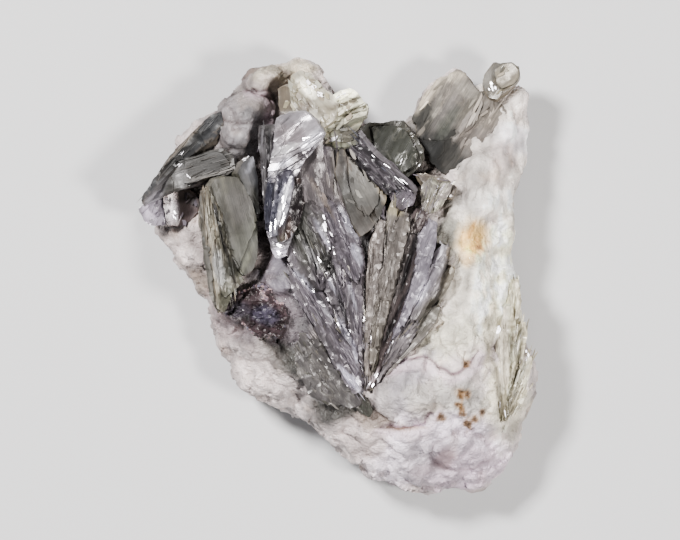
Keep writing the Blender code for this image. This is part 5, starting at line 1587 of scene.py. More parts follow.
def crest_flakes() -> MicaCrystal:
    """Crumpled flakes round the top of the left horn, with a ledged chunk on the right."""
    folds = {"breaks": (12, 3.4, 1.3, 0.4)}
    crumpled = Sheet([(-10.4, 44.4), (-8.6, 45.6), (-6.4, 44.8), (-3.8, 42), (-1.6, 40.4), (0.2, 38), (-1, 34.6),
        (-3.4, 32.6), (-6, 33.4), (-8, 34.6), (-10, 36.4), (-10.8, 40)], (-6, 39, 30.6), (0.08, -0.26), 4, -48,
        (0.68, 0.64, 0.54), GOLD, ripple=0.8, salt=31, **folds)
    first = Sheet([(-1.8, 39.8), (0.6, 41), (2.6, 41.6), (4.4, 40.4), (5.8, 38.4), (3.4, 37.4), (0.6, 36), (-2.4, 35)],
        (2, 39, 30.6), (0.04, -0.12), 5, 30, (1.3, 1.27, 1.06), CREAM, ripple=0.5, salt=33, steps=(Step([(-2, 38),
        (1, 39), (5, 39.6)], 0.6, 3),), **folds)
    second = Sheet([(-2.6, 36.4), (0.8, 37), (3.4, 38.2), (5.8, 38.6), (6.5, 37.4), (6.3, 35.6), (3.4, 35), (0, 33),
        (-2.6, 33)], (2, 36, 29.8), (0.02, -0.14), 5, 26, (1.25, 1.22, 1), CREAM, ripple=0.4, salt=34,
        steps=(Step([(-2.6, 34.8), (1.2, 35.6), (6.4, 37)], 0.7, 4),), **folds)
    third = Sheet([(-4.6, 34.8), (-2.4, 34.6), (0.2, 33.8), (3.2, 35.6), (6.2, 35.8), (4.6, 33), (3.8, 29), (0, 28),
        (-2.6, 29)], (2, 33.4, 28.6), (-0.12, -0.15), 5, 22, (0.48, 0.48, 0.38), GOLD, ripple=0.6, salt=35, **folds)
    upright = Sheet([(-13.4, 41.6), (-12.2, 42.2), (-9.8, 41.4), (-9.6, 36.6), (-11.2, 36), (-13, 36.6)],
        (-11.5, 39, 26), (0.5, 0.1), 4, 88, (0.34, 0.29, 0.23), TAN, breaks=(12, 4, 0.6, 0.4), salt=36)
    # The near-white cream patches paint highlights on the crumpled sheet and above the chunk's upper step; the thin
    # dark ones paint the shade under the chunk's steps.
    tints_and_painted_light = stains_and_painted_light((-6.8, 41.6, 2.8, 1.3, 100, 96, 84, 1, -48), (-3.6, 36.6, 2.8, 1.6, 26, 23.5, 19, 0.8, 20),
        (-7.6, 37, 2.4, 1.4, 20, 17, 15, 0.8, 50), (0.6, 38, 3.4, 0.6, 12, 10, 7, 0.9, 24),
        (3.2, 36.5, 3.4, 0.5, 10, 9, 6, 0.9, 22), (1.6, 40, 2.4, 0.9, 86, 84, 68, 0.9, 20),
        (2.2, 31.6, 3.4, 2, 14, 13, 11, 0.9))
    return MicaCrystal("crest_flakes", "golden_mica", [crumpled, first, second, third, upright],
        MicaFinish("crest_mica", 0.08, 0.34, 0.35, glints=0.06), (
        Scatter(60, (1.2, 3.4), (0.5, 1.2), (0.06, 0.2), 20, 9, 0.05, tints=(CREAM, GOLD, TAN)),),
        ((-7.2, 43, -5, 41.2, 1.2), (-5.4, 41, -3.6, 39.6, 0.8), (-0.4, 39.6, 1.8, 40.6, 0.4)), tints_and_painted_light)


def upper_left_blades() -> MicaCrystal:
    """A dark striated blade with an olive plate beside it and a smaller one on top."""
    dark = Sheet([(-26, 36.9), (-25.4, 33.6), (-27.4, 30.6), (-31.4, 27.6), (-35.6, 24.6), (-39, 21.4), (-42.2, 17.6),
        (-43.6, 16.6), (-43.2, 18), (-40.2, 22.6), (-38, 26), (-35.4, 29.2), (-31, 33.4), (-28.6, 35.7)],
        (-32, 30, 22.4), (0.2, -0.44), 3.6, 48, (0.085, 0.085, 0.09), (0.24, 0.21, 0.18), breaks=(14, 7, 0.5, 0.3),
        salt=51)
    olive = Sheet([(-35.4, 25.6), (-31, 27), (-28.4, 28), (-25.4, 28.4), (-23.2, 26.4), (-22.8, 23.8), (-24.4, 22.6),
        (-29.6, 21.5), (-33, 20), (-38, 18.4), (-40.6, 17.2), (-42.6, 16.4), (-41, 19.4), (-38.6, 22)],
        (-32, 23.6, 24.6), (0.18, 0), 3.4, 22, (0.2, 0.185, 0.17), SILVER, breaks=(5, 5, 1, 0.14), salt=52,
        steps=(Step([(-33.2, 27), (-33.8, 24), (-33.4, 20)], -0.5, 5), Step([(-37.6, 23.4), (-36.6, 21), (-36.4, 18)],
        -0.4, 3)))
    top = Sheet([(-33.8, 26.2), (-31, 26.8), (-28.4, 27.6), (-25.6, 27.4), (-24, 25), (-24.8, 23), (-29.8, 21.8),
        (-32.6, 20.8), (-34.4, 20.8)], (-29, 24.2, 26.2), (0.1, -0.02), 3.4, 18, (0.2, 0.18, 0.165), SILVER,
        breaks=(3, 6, 1.4, 0.12), ripple=0.15, leaf=0.7, salt=53)
    tints_and_painted_light = stains_and_painted_light((-29, 24.4, 7, 4.2, 6.2, 5.6, 5, 1, 18), (-37.6, 20, 4, 2.4, 9, 8.3, 7.6, 0.8, 35),
        (-31, 31.4, 8, 1.8, 4.5, 4.8, 5.5, 0.9, 46), (-34.4, 28.4, 7, 1.4, 5, 4.8, 4.6, 0.9, 46),
        (-34, 29.9, 6, 0.4, 24, 21, 18, 0.8, 48), (-39.6, 19.6, 4, 1, 22, 21, 22, 0.8, 45),
        (-34.6, 22, 1.2, 2.6, 34, 33, 33, 0.7, 5), (-37, 21, 1, 2, 9, 8.5, 8, 0.8),
        (-28.6, 22.3, 4, 0.5, 32, 30, 28, 0.8, 10), (-40.4, 17.6, 2.4, 1, 42, 40, 44, 0.9, 40))
    return MicaCrystal("upper_left_blades", "olive_mica", [dark, olive, top],
        MicaFinish("olive_blade_mica", 0.12, 0.4, 0.5, coat=0.03, gloss=0.24), (
        Scatter(50, (2, 6), (0.12, 0.35), (0.05, 0.12), 3, 5, 0.05, tints=((0.2, 0.19, 0.18), (0.12, 0.115, 0.11))),),
        ((-35.9, 24.2, -33.8, 26.2, 0.4), (-33.6, 22.8, -33, 21.6, 0.6), (-32, 29.6, -30.4, 31.2, 0.25),
        (-28.8, 31.2, -27.8, 32.4, 0.25), (-35.6, 26.6, -34.4, 27.8, 0.25)), tints_and_painted_light)


def left_tip_book() -> MicaCrystal:
    """Two short books at the left tip: a crumpled silver one and a brown one."""
    silver = Sheet([(-44.3, 15), (-43.4, 12.8), (-42.4, 11.8), (-40.4, 11.3), (-38.2, 11.6), (-37.6, 14), (-38.4, 17),
        (-40.4, 17.4), (-42.8, 16.2)], (-41, 14, 18.8), (0.18, 0.14), 5, 60, (0.58, 0.53, 0.6), LILAC,
        breaks=(12, 2.6, 1.4, 0.5), ripple=0.9, salt=71)
    brown = Sheet([(-38.9, 18), (-38.2, 11.4), (-35, 11.5), (-33, 12.4), (-31.4, 14.4), (-31, 17.4), (-33, 19.4),
        (-36, 18.9)], (-36, 15, 19.6), (-0.2, 0.1), 5, 80, (0.24, 0.19, 0.19), (0.3, 0.25, 0.24),
        breaks=(5, 3.4, 1.6, 0.2), ripple=0.6, salt=72)
    # The pale lilac patch on the brown book's left part paints a highlight on its second facet.
    tints_and_painted_light = stains_and_painted_light((-41.6, 14.6, 1.8, 1.8, 55, 50, 58, 0.8), (-38.4, 14.4, 0.5, 3, 5, 4, 5, 0.8),
        (-36.6, 14.4, 1.2, 2.4, 34, 30, 33, 0.8), (-33.6, 15.6, 1.8, 2.4, 6, 4.5, 4.5, 0.8))
    return MicaCrystal("left_tip_book", "olive_mica", [silver, brown],
        MicaFinish("tip_mica", 0.3, 0.26, 0.35), (
        Scatter(24, (0.8, 2), (0.4, 1), (0.05, 0.15), 40, 10, 0.05, tints=(LILAC, SILVER)),),
        ((-41.2, 16.2, -40.2, 15, 0.6), (-36.6, 14.6, -36.2, 12.8, 0.5)), tints_and_painted_light)


def left_book() -> MicaCrystal:
    """A tall book whose face falls to the right, so that its layered left side shows; another stands behind it."""
    face = Sheet([(-28, 20), (-26.8, 21.5), (-24.8, 22), (-22.4, 22), (-20.8, 20), (-19.2, 17), (-18.1, 13.6),
        (-17.7, 8), (-17.9, 4), (-19, 1.4), (-21, 0.2), (-22.2, 1.6), (-24, 6), (-24.8, 10), (-25.6, 14), (-27, 17.2)],
        (-25, 10, 31.4), (-0.44, 0.03), 3, 104, (0.23, 0.22, 0.2), (0.34, 0.32, 0.27), breaks=(2, 6, 1.2, 0.1),
        ripple=0.2, salt=91, steps=(Step([(-21.8, 2), (-19.6, 8), (-17.4, 13.4)], 0.7), Step([(-25.2, 8.2),
        (-22.6, 3.4), (-21, 0.6)], -0.4, 4)))
    band = Sheet([(-28.6, 19.8), (-27.2, 20), (-25.4, 15), (-24, 8), (-22, 1), (-20.6, -0.6), (-22.4, -2.4),
        (-25, -4.6), (-26, -2), (-26.4, 6), (-27.2, 13)], (-27, 10, 31.2), (-0.3, 0.03), 3.4, 98, (0.38, 0.36, 0.31),
        TAN, breaks=(18, 6, 0.6, 0.5), salt=92)
    outer = Sheet([(-29.4, 19.6), (-27, 18), (-25, 6), (-23.4, -4), (-25, -7.8), (-26.6, -7), (-27.4, 0), (-28.4, 9)],
        (-28, 8, 30.2), (-0.2, 0.03), 4, 97, (0.44, 0.41, 0.34), TAN, breaks=(20, 6, 0.6, 0.5), salt=93)
    skirt = Sheet([(-30.4, 19), (-28.6, 19), (-27, 6), (-25.2, -6), (-26.6, -8), (-28.4, -4), (-29.6, 4), (-30.6, 12)],
        (-29.6, 8, 28.8), (0.1, 0.03), 6, 97, (0.3, 0.285, 0.26), TAN, breaks=(20, 6, 0.6, 0.5), salt=94)
    behind = Sheet([(-22.2, 22.8), (-21, 25.4), (-18.8, 26.8), (-17.8, 22), (-17.4, 14), (-18.3, 14), (-20.2, 18.6)],
        (-20, 21, 28.6), (-0.5, -0.05), 4, 110, (0.13, 0.13, 0.14), (0.3, 0.28, 0.26), breaks=(5, 6, 0.5, 0.2),
        salt=95)
    # The first patch paints a pale highlight streak on the sheet that stands behind.
    tints_and_painted_light = stains_and_painted_light((-19.4, 24.6, 3.2, 0.5, 50, 50, 56, 0.95, 60), (-19.6, 20, 5, 0.5, 26, 25, 25, 0.8, 108),
        (-18.2, 17, 6, 0.5, 4, 4, 4.5, 0.8, 100), (-22, 12, 12, 5, 9, 8.6, 7, 1, 100),
        (-19.6, 7, 6, 1.2, 19, 19, 15, 0.8, 78), (-24.4, 17, 5, 0.7, 20, 19, 15, 0.7, 104),
        (-26.6, 13, 6, 0.35, 3, 2.8, 2.6, 0.9, 103), (-23.9, 3, 6, 0.4, 3.5, 3, 2.8, 0.8, 105),
        (-28.4, 12, 5, 0.7, 42, 40, 35, 0.8, 97), (-26.4, 2, 5, 1, 42, 42, 42, 0.8, 100),
        (-29.4, 4, 10, 0.6, 9, 8.5, 7.5, 0.8, 95), (-22, 16, 4, 3, 11.5, 10.5, 10, 0.7, 104),
        (-21, 7, 5, 2, 14, 14, 12, 0.7, 75), (-22.6, 2, 2.4, 2, 6, 6, 5, 0.8), (-24.6, -4.4, 2, 3, 10, 10, 8, 0.8),
        (-20.4, 3.4, 3.4, 0.5, 30, 30, 24, 0.7, 68))
    return MicaCrystal("left_book", "olive_mica", [face, band, outer, skirt, behind],
        MicaFinish("book_mica", 0.15, 0.4, 0.45, coat=0.03, glints=0.02, gloss=0.28), (
        Scatter(90, (2, 8), (0.15, 0.4), (0.06, 0.16), 3, 6, 0.02, tints=(GOLD, TAN, SILVER, SMOKE), zone=[(-30.4, 19),
        (-27.6, 19), (-25.6, 14), (-24.4, 8), (-22.6, 2), (-22.6, -4), (-26, -7), (-29, 0)]),),
        ((-21.8, 25.2, -19.4, 26.6, 0.35),), tints_and_painted_light)


def small_book() -> MicaCrystal:
    """A short lilac book in the middle, striped across."""
    sheet = Sheet([(11.2, 17.6), (12, 18.8), (13.4, 19.6), (15, 19.8), (16.4, 18.8), (16.9, 17.4), (16.2, 15.8),
        (13.8, 14.6), (12.4, 15.6)], (14, 17, 29), (0.1, 0.35), 5, 50, (0.38, 0.345, 0.38), LILAC,
        breaks=(36, 5, 0.5, 0.35), salt=111)
    return MicaCrystal("small_book", "silver_mica", [sheet],
        MicaFinish("small_book_mica", 0.45, 0.2, 0.55), (
        Scatter(14, (1.5, 4), (0.15, 0.35), (0.06, 0.14), 6, 6, 0.05, tints=(LILAC, SILVER, STEEL)),))


def ridge_blade() -> MicaCrystal:
    """A narrow dark blade with a bright upper edge, above the green plate."""
    sheet = Sheet([(2.6, 31), (4.2, 31.4), (6.6, 28.2), (8.2, 26.6), (12, 23.2), (15.4, 20.2), (16.6, 18.2),
        (13.4, 17), (10.6, 18.2), (9, 19.6), (6, 22.4), (3.6, 25.2), (1.2, 27.6)], (9, 24.8, 31.8), (0.3, 0.3), 5, -43,
        (0.125, 0.115, 0.125), (0.34, 0.31, 0.34), breaks=(14, 6, 0.5, 0.3), salt=121)
    return MicaCrystal("ridge_blade", "silver_mica", [sheet],
        MicaFinish("ridge_mica", 0.4, 0.22, 0.5), (
        Scatter(26, (2.5, 7), (0.15, 0.4), (0.06, 0.14), 4, 6, 0.03, tints=(LILAC, SILVER, STEEL)),),
        ((5, 30, 8.6, 26.6, 0.3), (8.8, 26.2, 12.4, 22.8, 0.3), (12.6, 22.6, 15.4, 20, 0.3)))


def shell_plate() -> MicaCrystal:
    """A smooth rounded olive plate with a warm right edge."""
    lower = Sheet([(0.4, 29), (2.6, 27.6), (5, 26), (7.2, 23.8), (9.4, 21.4), (10.6, 19), (10.4, 16.4), (9.2, 13.6),
        (7.4, 10.6), (5, 9), (3, 12), (1.2, 17), (-0.6, 23)], (5, 18, 32.2), (-0.16, 0.04), 3, -60, (0.24, 0.215, 0.2),
        (0.5, 0.44, 0.36), breaks=(5, 5, 1.4, 0.14), ripple=0.3, salt=131)
    upper = Sheet([(2.2, 26.4), (5, 24.4), (7.4, 22), (9, 19.4), (8.6, 16), (6.6, 13.4), (4.4, 15), (2.4, 20)],
        (5, 19, 33), (-0.22, 0.02), 3, -60, (0.33, 0.31, 0.285), (0.52, 0.47, 0.4), breaks=(3, 5, 1.6, 0.08),
        ripple=0.25, salt=132)
    return MicaCrystal("shell_plate", "olive_mica", [lower, upper],
        MicaFinish("shell_mica", 0.15, 0.44, 0.35, 0.2, coat=0.03, gloss=0.25, glints=0.02), (
        Scatter(10, (2, 4), (0.4, 1), (0.04, 0.08), 15, 3, 0, tints=((0.3, 0.28, 0.26), (0.36, 0.33, 0.3),
        (0.2, 0.17, 0.15))),), tints_and_painted_light=stains_and_painted_light((5, 17, 10, 6, 10.5, 9.8, 8.8), (6, 20, 3, 2.4, 26, 25, 23, 0.7, 50),
        (5.4, 13.4, 3, 2, 7, 5.5, 4.2, 0.8), (9.6, 18.6, 5, 0.6, 34, 29, 22, 0.9, 112),
        (7.4, 23.4, 4, 0.5, 30, 28, 24, 0.8, -45), (1.2, 24, 5, 0.7, 7, 6.2, 6, 0.8, 105)))


def right_fan() -> MicaCrystal:
    """Fibrous leaves in two lobes with a groove between them."""
    fan = Fan((6.4, -24.6, 27), ((7.8, 7, 29.4, 4, -0.25), (9.6, 12.6, 30.8, 5, -0.2), (12.2, 16.4, 31.2, 4, 0.12),
        (14.6, 13.8, 32, 5.4, -0.1), (15.6, 9.4, 31.4, 4.6, 0.4), (19, 14.4, 29.6, 5.2, -0.5),
        (20.8, 12, 31, 6, -0.05), (23.4, 7, 30.2, 4.6, 0.22), (25.2, 2, 28.2, 4.4, -0.1), (22, -6.4, 28.4, 4.2, 0.15),
        (17, -10, 29.2, 3.6, -0.3)), 4, 0.7, ((0.33, 0.3, 0.29), (0.37, 0.33, 0.31), (0.4, 0.37, 0.32),
        (0.38, 0.345, 0.31), (0.16, 0.13, 0.13), (0.15, 0.12, 0.12), (0.4, 0.37, 0.42), (0.4, 0.37, 0.38),
        (0.42, 0.38, 0.32), (0.38, 0.35, 0.33), (0.32, 0.29, 0.3)), salt=300)
    left_lobe = [(4, 6), (8, 15), (12, 17.6), (17.4, 15.4), (17.2, 9), (14, -4), (8, -22), (5.6, -22)]
    right_lobe = [(17, 14), (21, 16), (26.4, 4), (25.6, -3), (16, -14), (8.6, -23), (7.6, -21), (15, -4)]
    return MicaCrystal("right_fan", "silver_mica", fan.sheets(),
        MicaFinish("right_fan_mica", 0.3, 0.32, 0.55, coat=0, glints=0.02, gloss=0.3), (
        Scatter(330, (2.5, 8), (0.14, 0.32), (0.05, 0.16), 4, 5, 0, tints=((0.4, 0.36, 0.32), (0.3, 0.27, 0.25),
        (0.22, 0.19, 0.18), (0.36, 0.33, 0.32)), zone=left_lobe),
        Scatter(230, (2, 7), (0.14, 0.36), (0.05, 0.14), 5, 5, 0.01, tints=((0.36, 0.33, 0.37), (0.3, 0.27, 0.29),
        (0.24, 0.21, 0.23), (0.42, 0.37, 0.31)), zone=right_lobe)), ((21.2, -1.4, 22.2, -4.6, 0.7),
        (22.2, 8.6, 22.6, 6.2, 0.6), (18.4, 2.6, 18.2, -0.6, 0.45), (16.4, -6, 15.4, -9, 0.5),
        (17.6, -2.4, 17, -4.4, 0.5), (14.6, -9.6, 13.4, -12.4, 0.5), (19.8, -3.4, 19.2, -5.6, 0.5),
        # In the last table, the near-black streaks paint the shade in the groove between the lobes and the shadow
        # along the right lobe's right edge, and the pale lilac ones paint highlights on the right lobe and near the
        # foot.
        (12, -14, 10.8, -16.6, 0.45)), stains_and_painted_light((12, 4, 12, 4, 22.5, 20.5, 20, 0.6, 80),
        (12.2, 14.6, 2, 1.2, 42, 38, 28, 0.9), (20.6, 4, 8, 2.2, 27, 25, 28.5, 0.7, 78),
        (18.4, -3.6, 3, 1, 62, 60, 66, 0.9, 66), (15.4, 3, 8, 0.7, 2.5, 2, 2.2, 0.95, 74),
        (12.4, -9, 7, 0.5, 3, 2.4, 2.6, 0.95, 66), (24, 3, 5, 0.6, 5, 4.5, 4.5, 0.8, 75),
        (22.6, 6, 1.8, 0.7, 66, 63, 68, 0.9, 80), (21.4, -3.4, 1.6, 0.5, 66, 62, 66, 0.9, 70),
        (7.3, -22.9, 2.6, 0.5, 66, 58, 60, 0.9, 61), (20, -8, 6, 2, 20, 19, 16.5, 0.7, 58)))


def central_fan() -> MicaCrystal:
    """Broad broken leaves at the top and long ones below, which run to the foot with bright slivers along them."""
    look = {"breaks": (15, 6, 0.8, 0.32), "ripple": 0.45, "rough": 0.7, "grid": 0.66, "edge_tint": LILAC}
    calm = look | {"breaks": (4, 7, 1.6, 0.2), "rough": 0.3}
    sheets = [
        Sheet([(-2.2, 31.4), (-1, 28.6), (-0.9, 22.7), (-1.3, 17.1), (-3.2, 12.8), (-5.6, 15), (-8.6, 18), (-10, 21),
        (-9.4, 25.4), (-6.4, 30)], (-4, 22, 31.7), (0.03, 0.07), 4, 100, (0.25, 0.22, 0.235), salt=601, **calm),
        Sheet([(-2.6, 31), (2, 31.4), (3.6, 26), (3.4, 19.3), (4.6, 13), (2.2, 9.6), (-0.4, 12.8), (-1.8, 19.3)],
        (0.5, 22, 31.3), (-0.12, 0.05), 4, 95, (0.19, 0.165, 0.175), salt=602, **calm),
        Sheet([(-9.4, 20.2), (-6.2, 17.2), (-3.4, 14.2), (-1.5, 8.4), (-2.1, 2.6), (-3.6, 1.2), (-6.2, 6.4),
        (-8.6, 12), (-10.3, 17)], (-5, 11, 31), (0.16, 0.08), 4, 113, (0.22, 0.205, 0.205), salt=603, **look),
        Sheet([(-2.4, 18), (0.8, 12.8), (4.3, 8.4), (5.6, 3.2), (4.4, -1.6), (2.6, -0.4), (0.1, 3.3), (-2, 8.2),
        (-3.2, 12.7)], (1, 9, 31.2), (0.1, 0.1), 4, 110, (0.25, 0.225, 0.25), salt=604, **look),
        Sheet([(-10.4, 17), (-8.8, 12), (-6, 6.6), (-3.6, 1.6), (-3.4, -3), (-5.4, -3.4), (-8.6, 0), (-11, 3.2),
        (-12.2, 8.2), (-11.6, 13)], (-8, 7, 29.7), (0.16, 0.05), 4, 112, (0.22, 0.2, 0.21), salt=605, **look),
        Sheet([(-6.2, 7), (-1.7, 9), (1.6, 4), (3, -2.9), (3.4, -9), (1.6, -11), (-1.9, -5.6), (-4.4, -1.2)],
        (-1, 1, 30.2), (0.02, 0.1), 4, 108, (0.28, 0.255, 0.275), salt=606, **look),
        Sheet([(-11.4, 4), (-8.4, 1.4), (-5, -2), (-1.6, -5.6), (1.8, -11.4), (4.2, -17.3), (5.6, -24.6), (3.2, -25.4),
        (-0.8, -19.6), (-4.8, -12.6), (-8.3, -6), (-11, -0.8)], (-4, -8, 28.7), (0.1, 0.03), 4, 120,
        (0.265, 0.24, 0.26), salt=607, **look),
        Sheet([(0.8, 4), (5.2, 4.6), (7.2, -2.9), (7.6, -9.6), (7, -16.2), (6.2, -25), (3.6, -18), (1.9, -9.6),
        (0.9, -2.9)], (4.5, -8, 29.4), (-0.08, 0.07), 4, 96, (0.29, 0.26, 0.28), salt=608, **look),
        Sheet([(4.6, 4), (4.4, 12), (6.4, 16.4), (10, 15.6), (10.6, 9.6), (10.1, 1.6), (9.7, -5.1), (8.7, -11.8),
        (6.8, -18), (6.6, -9.6), (5.8, -2.9)], (8, -3, 28.9), (0.1, 0.06), 4, 92, (0.2, 0.175, 0.185), salt=609,
        **look),
        Sheet([(-1.4, -6.4), (2.4, -5.8), (3.6, -12), (5.2, -19), (4.8, -23), (1.2, -17), (-0.9, -11)], (2, -12, 28.9),
        (-0.1, 0.05), 4, 108, (0.26, 0.235, 0.255), salt=610, **look),
        Sheet([(-8, -12.5), (-9.5, -16), (-9, -21), (-6.6, -26), (-2, -28.4), (2.4, -29), (5, -27.6), (5.4, -25.4),
        (1, -20), (-4, -13.5)], (-3, -20, 28.1), (0.03, 0.06), 2, 125, (0.215, 0.2, 0.2), salt=611, sunken=2.2, **look
        | {"breaks": (12, 3, 1.2, 0.25), "edge_tint": ASH})]
    low = [(-12.5, 6), (-6, 8), (2, 5), (8, 6), (9.4, -8), (7.4, -22), (5.8, -26), (2.4, -26), (-6, -16), (-12, -4)]
    apron = [(-8, -13), (-9.6, -18), (-7, -26), (-1, -29), (4, -28), (4, -24), (-1, -17)]
    high = [(-11, 8), (-9, 22), (-4, 29), (3, 30), (6, 14), (4, 8)]
    flashes = ((-8.6, -0.2, -7.2, -1.8, 0.8), (-7.2, -1.4, -6, -3, 0.9), (-6.2, -2.6, -5, -4.2, 0.8),
        (-1.9, -0.7, -0.1, -4.2, 0.7), (2.3, -1.1, 3.2, -4.4, 0.6), (3, -4.2, 4.3, -7.1, 0.7),
        (4.8, -7.1, 5.7, -9.8, 0.5), (-0.3, -6.9, 1.7, -8.2, 0.8), (1.2, -10, 3, -13.5, 0.8),
        (-0.4, -9.4, 0.8, -11.8, 0.6), (3.2, -15.1, 4.3, -17.8, 0.6), (0.3, -19.8, 3.2, -23.5, 0.9),
        (-0.4, -18.6, 1, -20.6, 0.6), (4, -20.6, 4.8, -24, 0.6), (8.4, -21.3, 6.4, -25, 0.7), (2.8, 7.8, 4, 5.2, 0.9),
        (3.6, 6, 5.4, 3.5, 0.8), (-4.4, 15.4, -1.7, 8.6, 0.8), (0.3, 14.2, 2.9, 8, 1.2), (-2.4, 8.6, -0.8, 4.4, 0.6),
        (-4.4, 4.2, -2.6, 0.6, 0.6), (-10.2, 7, -7.6, 1.6, 0.4), (-1.4, -13.6, 0.4, -16.2, 0.5),
        (5, -12.4, 5.4, -15.6, 0.5), (-9.6, 4.4, -7.8, 0.6, 0.5), (2, -5.8, 3, -8.4, 0.5), (-3, -3.2, -1.6, -6, 0.5))
    # The pale lilac streaks paint highlights along the leaves, and the near-black streaks paint the shade in the
    # grooves between them.
    tints_and_painted_light = stains_and_painted_light((-5.5, 22, 7, 3.4, 19, 17, 17.5, 1, 95), (-1, 24, 6, 0.7, 21, 19, 18, 0.8, 95),
        (0.5, 25, 4, 1.4, 9, 8, 7.5, 0.8, 100), (-8, 9, 8, 3, 14, 13.8, 12.5, 0.9, 112),
        (-3.4, 17, 5, 0.5, 26, 22, 20, 0.9, -58), (0.4, 17.6, 5, 0.5, 27, 24, 23, 0.9, -55),
        (2.1, 11.8, 4.2, 0.8, 62, 60, 68, 0.9, -60, 0.3), (-3.7, 9.8, 3.4, 0.5, 62, 60, 68, 0.85, -61, 0.3),
        (-6.1, 4.9, 3.8, 0.7, 36, 35, 36, 0.8, -60), (3.9, 5.1, 2.3, 0.8, 62, 60, 68, 0.9, -70, 0.3),
        (-7.4, -1.2, 3.8, 0.6, 62, 60, 68, 0.85, -46, 0.3), (-1.4, -1.9, 1.7, 0.4, 62, 60, 68, 0.8, -65, 0.3),
        (3, -4, 3.6, 0.35, 62, 60, 68, 0.8, -72, 0.3), (1.4, -12, 3, 0.6, 62, 60, 68, 0.7, -58, 0.3),
        (-3, -7, 3, 0.5, 50, 48, 52, 0.8, -60), (3.7, -17.2, 3, 0.3, 62, 60, 68, 0.8, -80, 0.3),
        (2.6, -22.5, 3.8, 0.7, 62, 60, 68, 0.9, -52, 0.3), (6.6, 8.4, 5, 1.6, 4.5, 4, 4, 0.9, 100),
        (-2, 2.7, 3, 1.1, 4, 3.8, 3.6, 0.9, 110), (-4.6, -4, 4, 0.6, 5, 4.5, 5, 0.8, 125),
        (0.6, -6, 5, 0.5, 6, 5.5, 6, 0.8, 108), (7.6, -6, 8, 0.8, 9, 8, 8.5, 0.8, 96))
    return MicaCrystal("central_fan", "silver_mica", sheets,
        MicaFinish("central_fan_mica", 0.4, 0.27, 0.55, coat=0.04, glints=0.03), (
        Scatter(300, (2, 7), (0.16, 0.42), (0.05, 0.14), 5, 5, 0.015, zone=low, tints=((0.34, 0.31, 0.33),
        (0.44, 0.4, 0.44), (0.22, 0.2, 0.2), (0.36, 0.33, 0.28))),
        Scatter(26, (3, 8), (0.3, 0.8), (0.04, 0.08), 5, 3, 0, zone=high, tints=((0.26, 0.23, 0.25),
        (0.18, 0.165, 0.17), (0.3, 0.27, 0.29))),
        Scatter(70, (1, 3.2), (0.2, 0.6), (0.04, 0.1), 20, 6, 0.01, zone=apron, tints=((0.3, 0.28, 0.26),
        (0.2, 0.19, 0.17), (0.36, 0.34, 0.34)))), flashes, tints_and_painted_light)


def twin_books() -> MicaCrystal:
    """Two little books that lean apart, with a flat one behind them."""
    left = Sheet([(18.4, 20.4), (20, 21.6), (21.5, 20.2), (21.5, 18.4), (20.6, 15.4), (20, 14.1), (18.4, 15.6),
        (18, 18)], (20, 18, 27), (0.3, 0.1), 5, 70, (0.46, 0.42, 0.41), CREAM, breaks=(40, 4, 0.5, 0.3), salt=141)
    right = Sheet([(21.9, 19.2), (23.4, 20.8), (25.2, 20.4), (24.6, 18.4), (23.2, 16.4), (22.2, 14.6), (21, 14.3),
        (21.2, 17)], (23, 18, 26.4), (-0.34, 0.15), 5, 60, (0.44, 0.4, 0.37), CREAM, breaks=(40, 4, 0.5, 0.3),
        salt=142)
    back = Sheet([(17.2, 22.9), (19, 22.7), (22, 22.4), (24.2, 21.6), (26, 19.8), (25, 17.6), (21, 19), (19.4, 20)],
        (22, 21, 24.8), (0.02, -0.2), 4, -10, (0.36, 0.32, 0.3), TAN, breaks=(40, 3, 0.5, 0.2), salt=143)
    return MicaCrystal("twin_books", "olive_mica", [left, right, back],
        MicaFinish("twin_book_mica", 0.3, 0.26, 0.5), (
        Scatter(40, (1.2, 3.6), (0.15, 0.35), (0.1, 0.2), 7, 8, 0.03, tints=(CREAM, LILAC, TAN, OLIVE)),))


def green_plate() -> MicaCrystal:
    """A dark, glassy plate in the saddle, with a sparkling right edge."""
    lower = Sheet([(4.8, 33), (7, 34.3), (10, 34.1), (12, 34.6), (14.6, 34.5), (16, 32.2), (17.6, 30.4), (18.8, 28.4),
        (18.9, 26.6), (18.2, 24.8), (16.6, 23), (14.4, 21.6), (12, 22.6), (8, 26), (5.4, 30)], (12, 29, 20.6),
        (0, 0.02), 3, 60, (0.12, 0.115, 0.095), ASH, breaks=(8, 4, 1.4, 0.14), ripple=0.2, salt=151)
    upper = Sheet([(7.4, 33), (12.4, 33.6), (14.6, 32.6), (16.4, 29.8), (17.6, 27), (16.6, 24.6), (14, 23.2), (11, 25),
        (8, 29)], (12, 29, 22), (0.02, 0.06), 3, 60, GREEN, (0.34, 0.33, 0.28), breaks=(7, 4, 1.6, 0.1), ripple=0.22,
        salt=152)
    rim_zone = [(14.6, 34), (16.6, 32), (19.2, 28.6), (19, 25.6), (16, 22.4), (15.2, 24), (17, 26.6), (16, 30)]
    return MicaCrystal("green_plate", "green_mica", [lower, upper],
        MicaFinish("green_mica", 0.12, 0.27, 0.4, 0.15, coat=0.08, glints=0.02, glass=0.2), (
        Scatter(44, (0.4, 1.2), (0.15, 0.4), (0.1, 0.25), 60, 10, 0.05, zone=rim_zone, tints=(ASH, OLIVE,
        (0.3, 0.29, 0.26))),), ((13.4, 24.6, 14.2, 26.2, 0.25),))


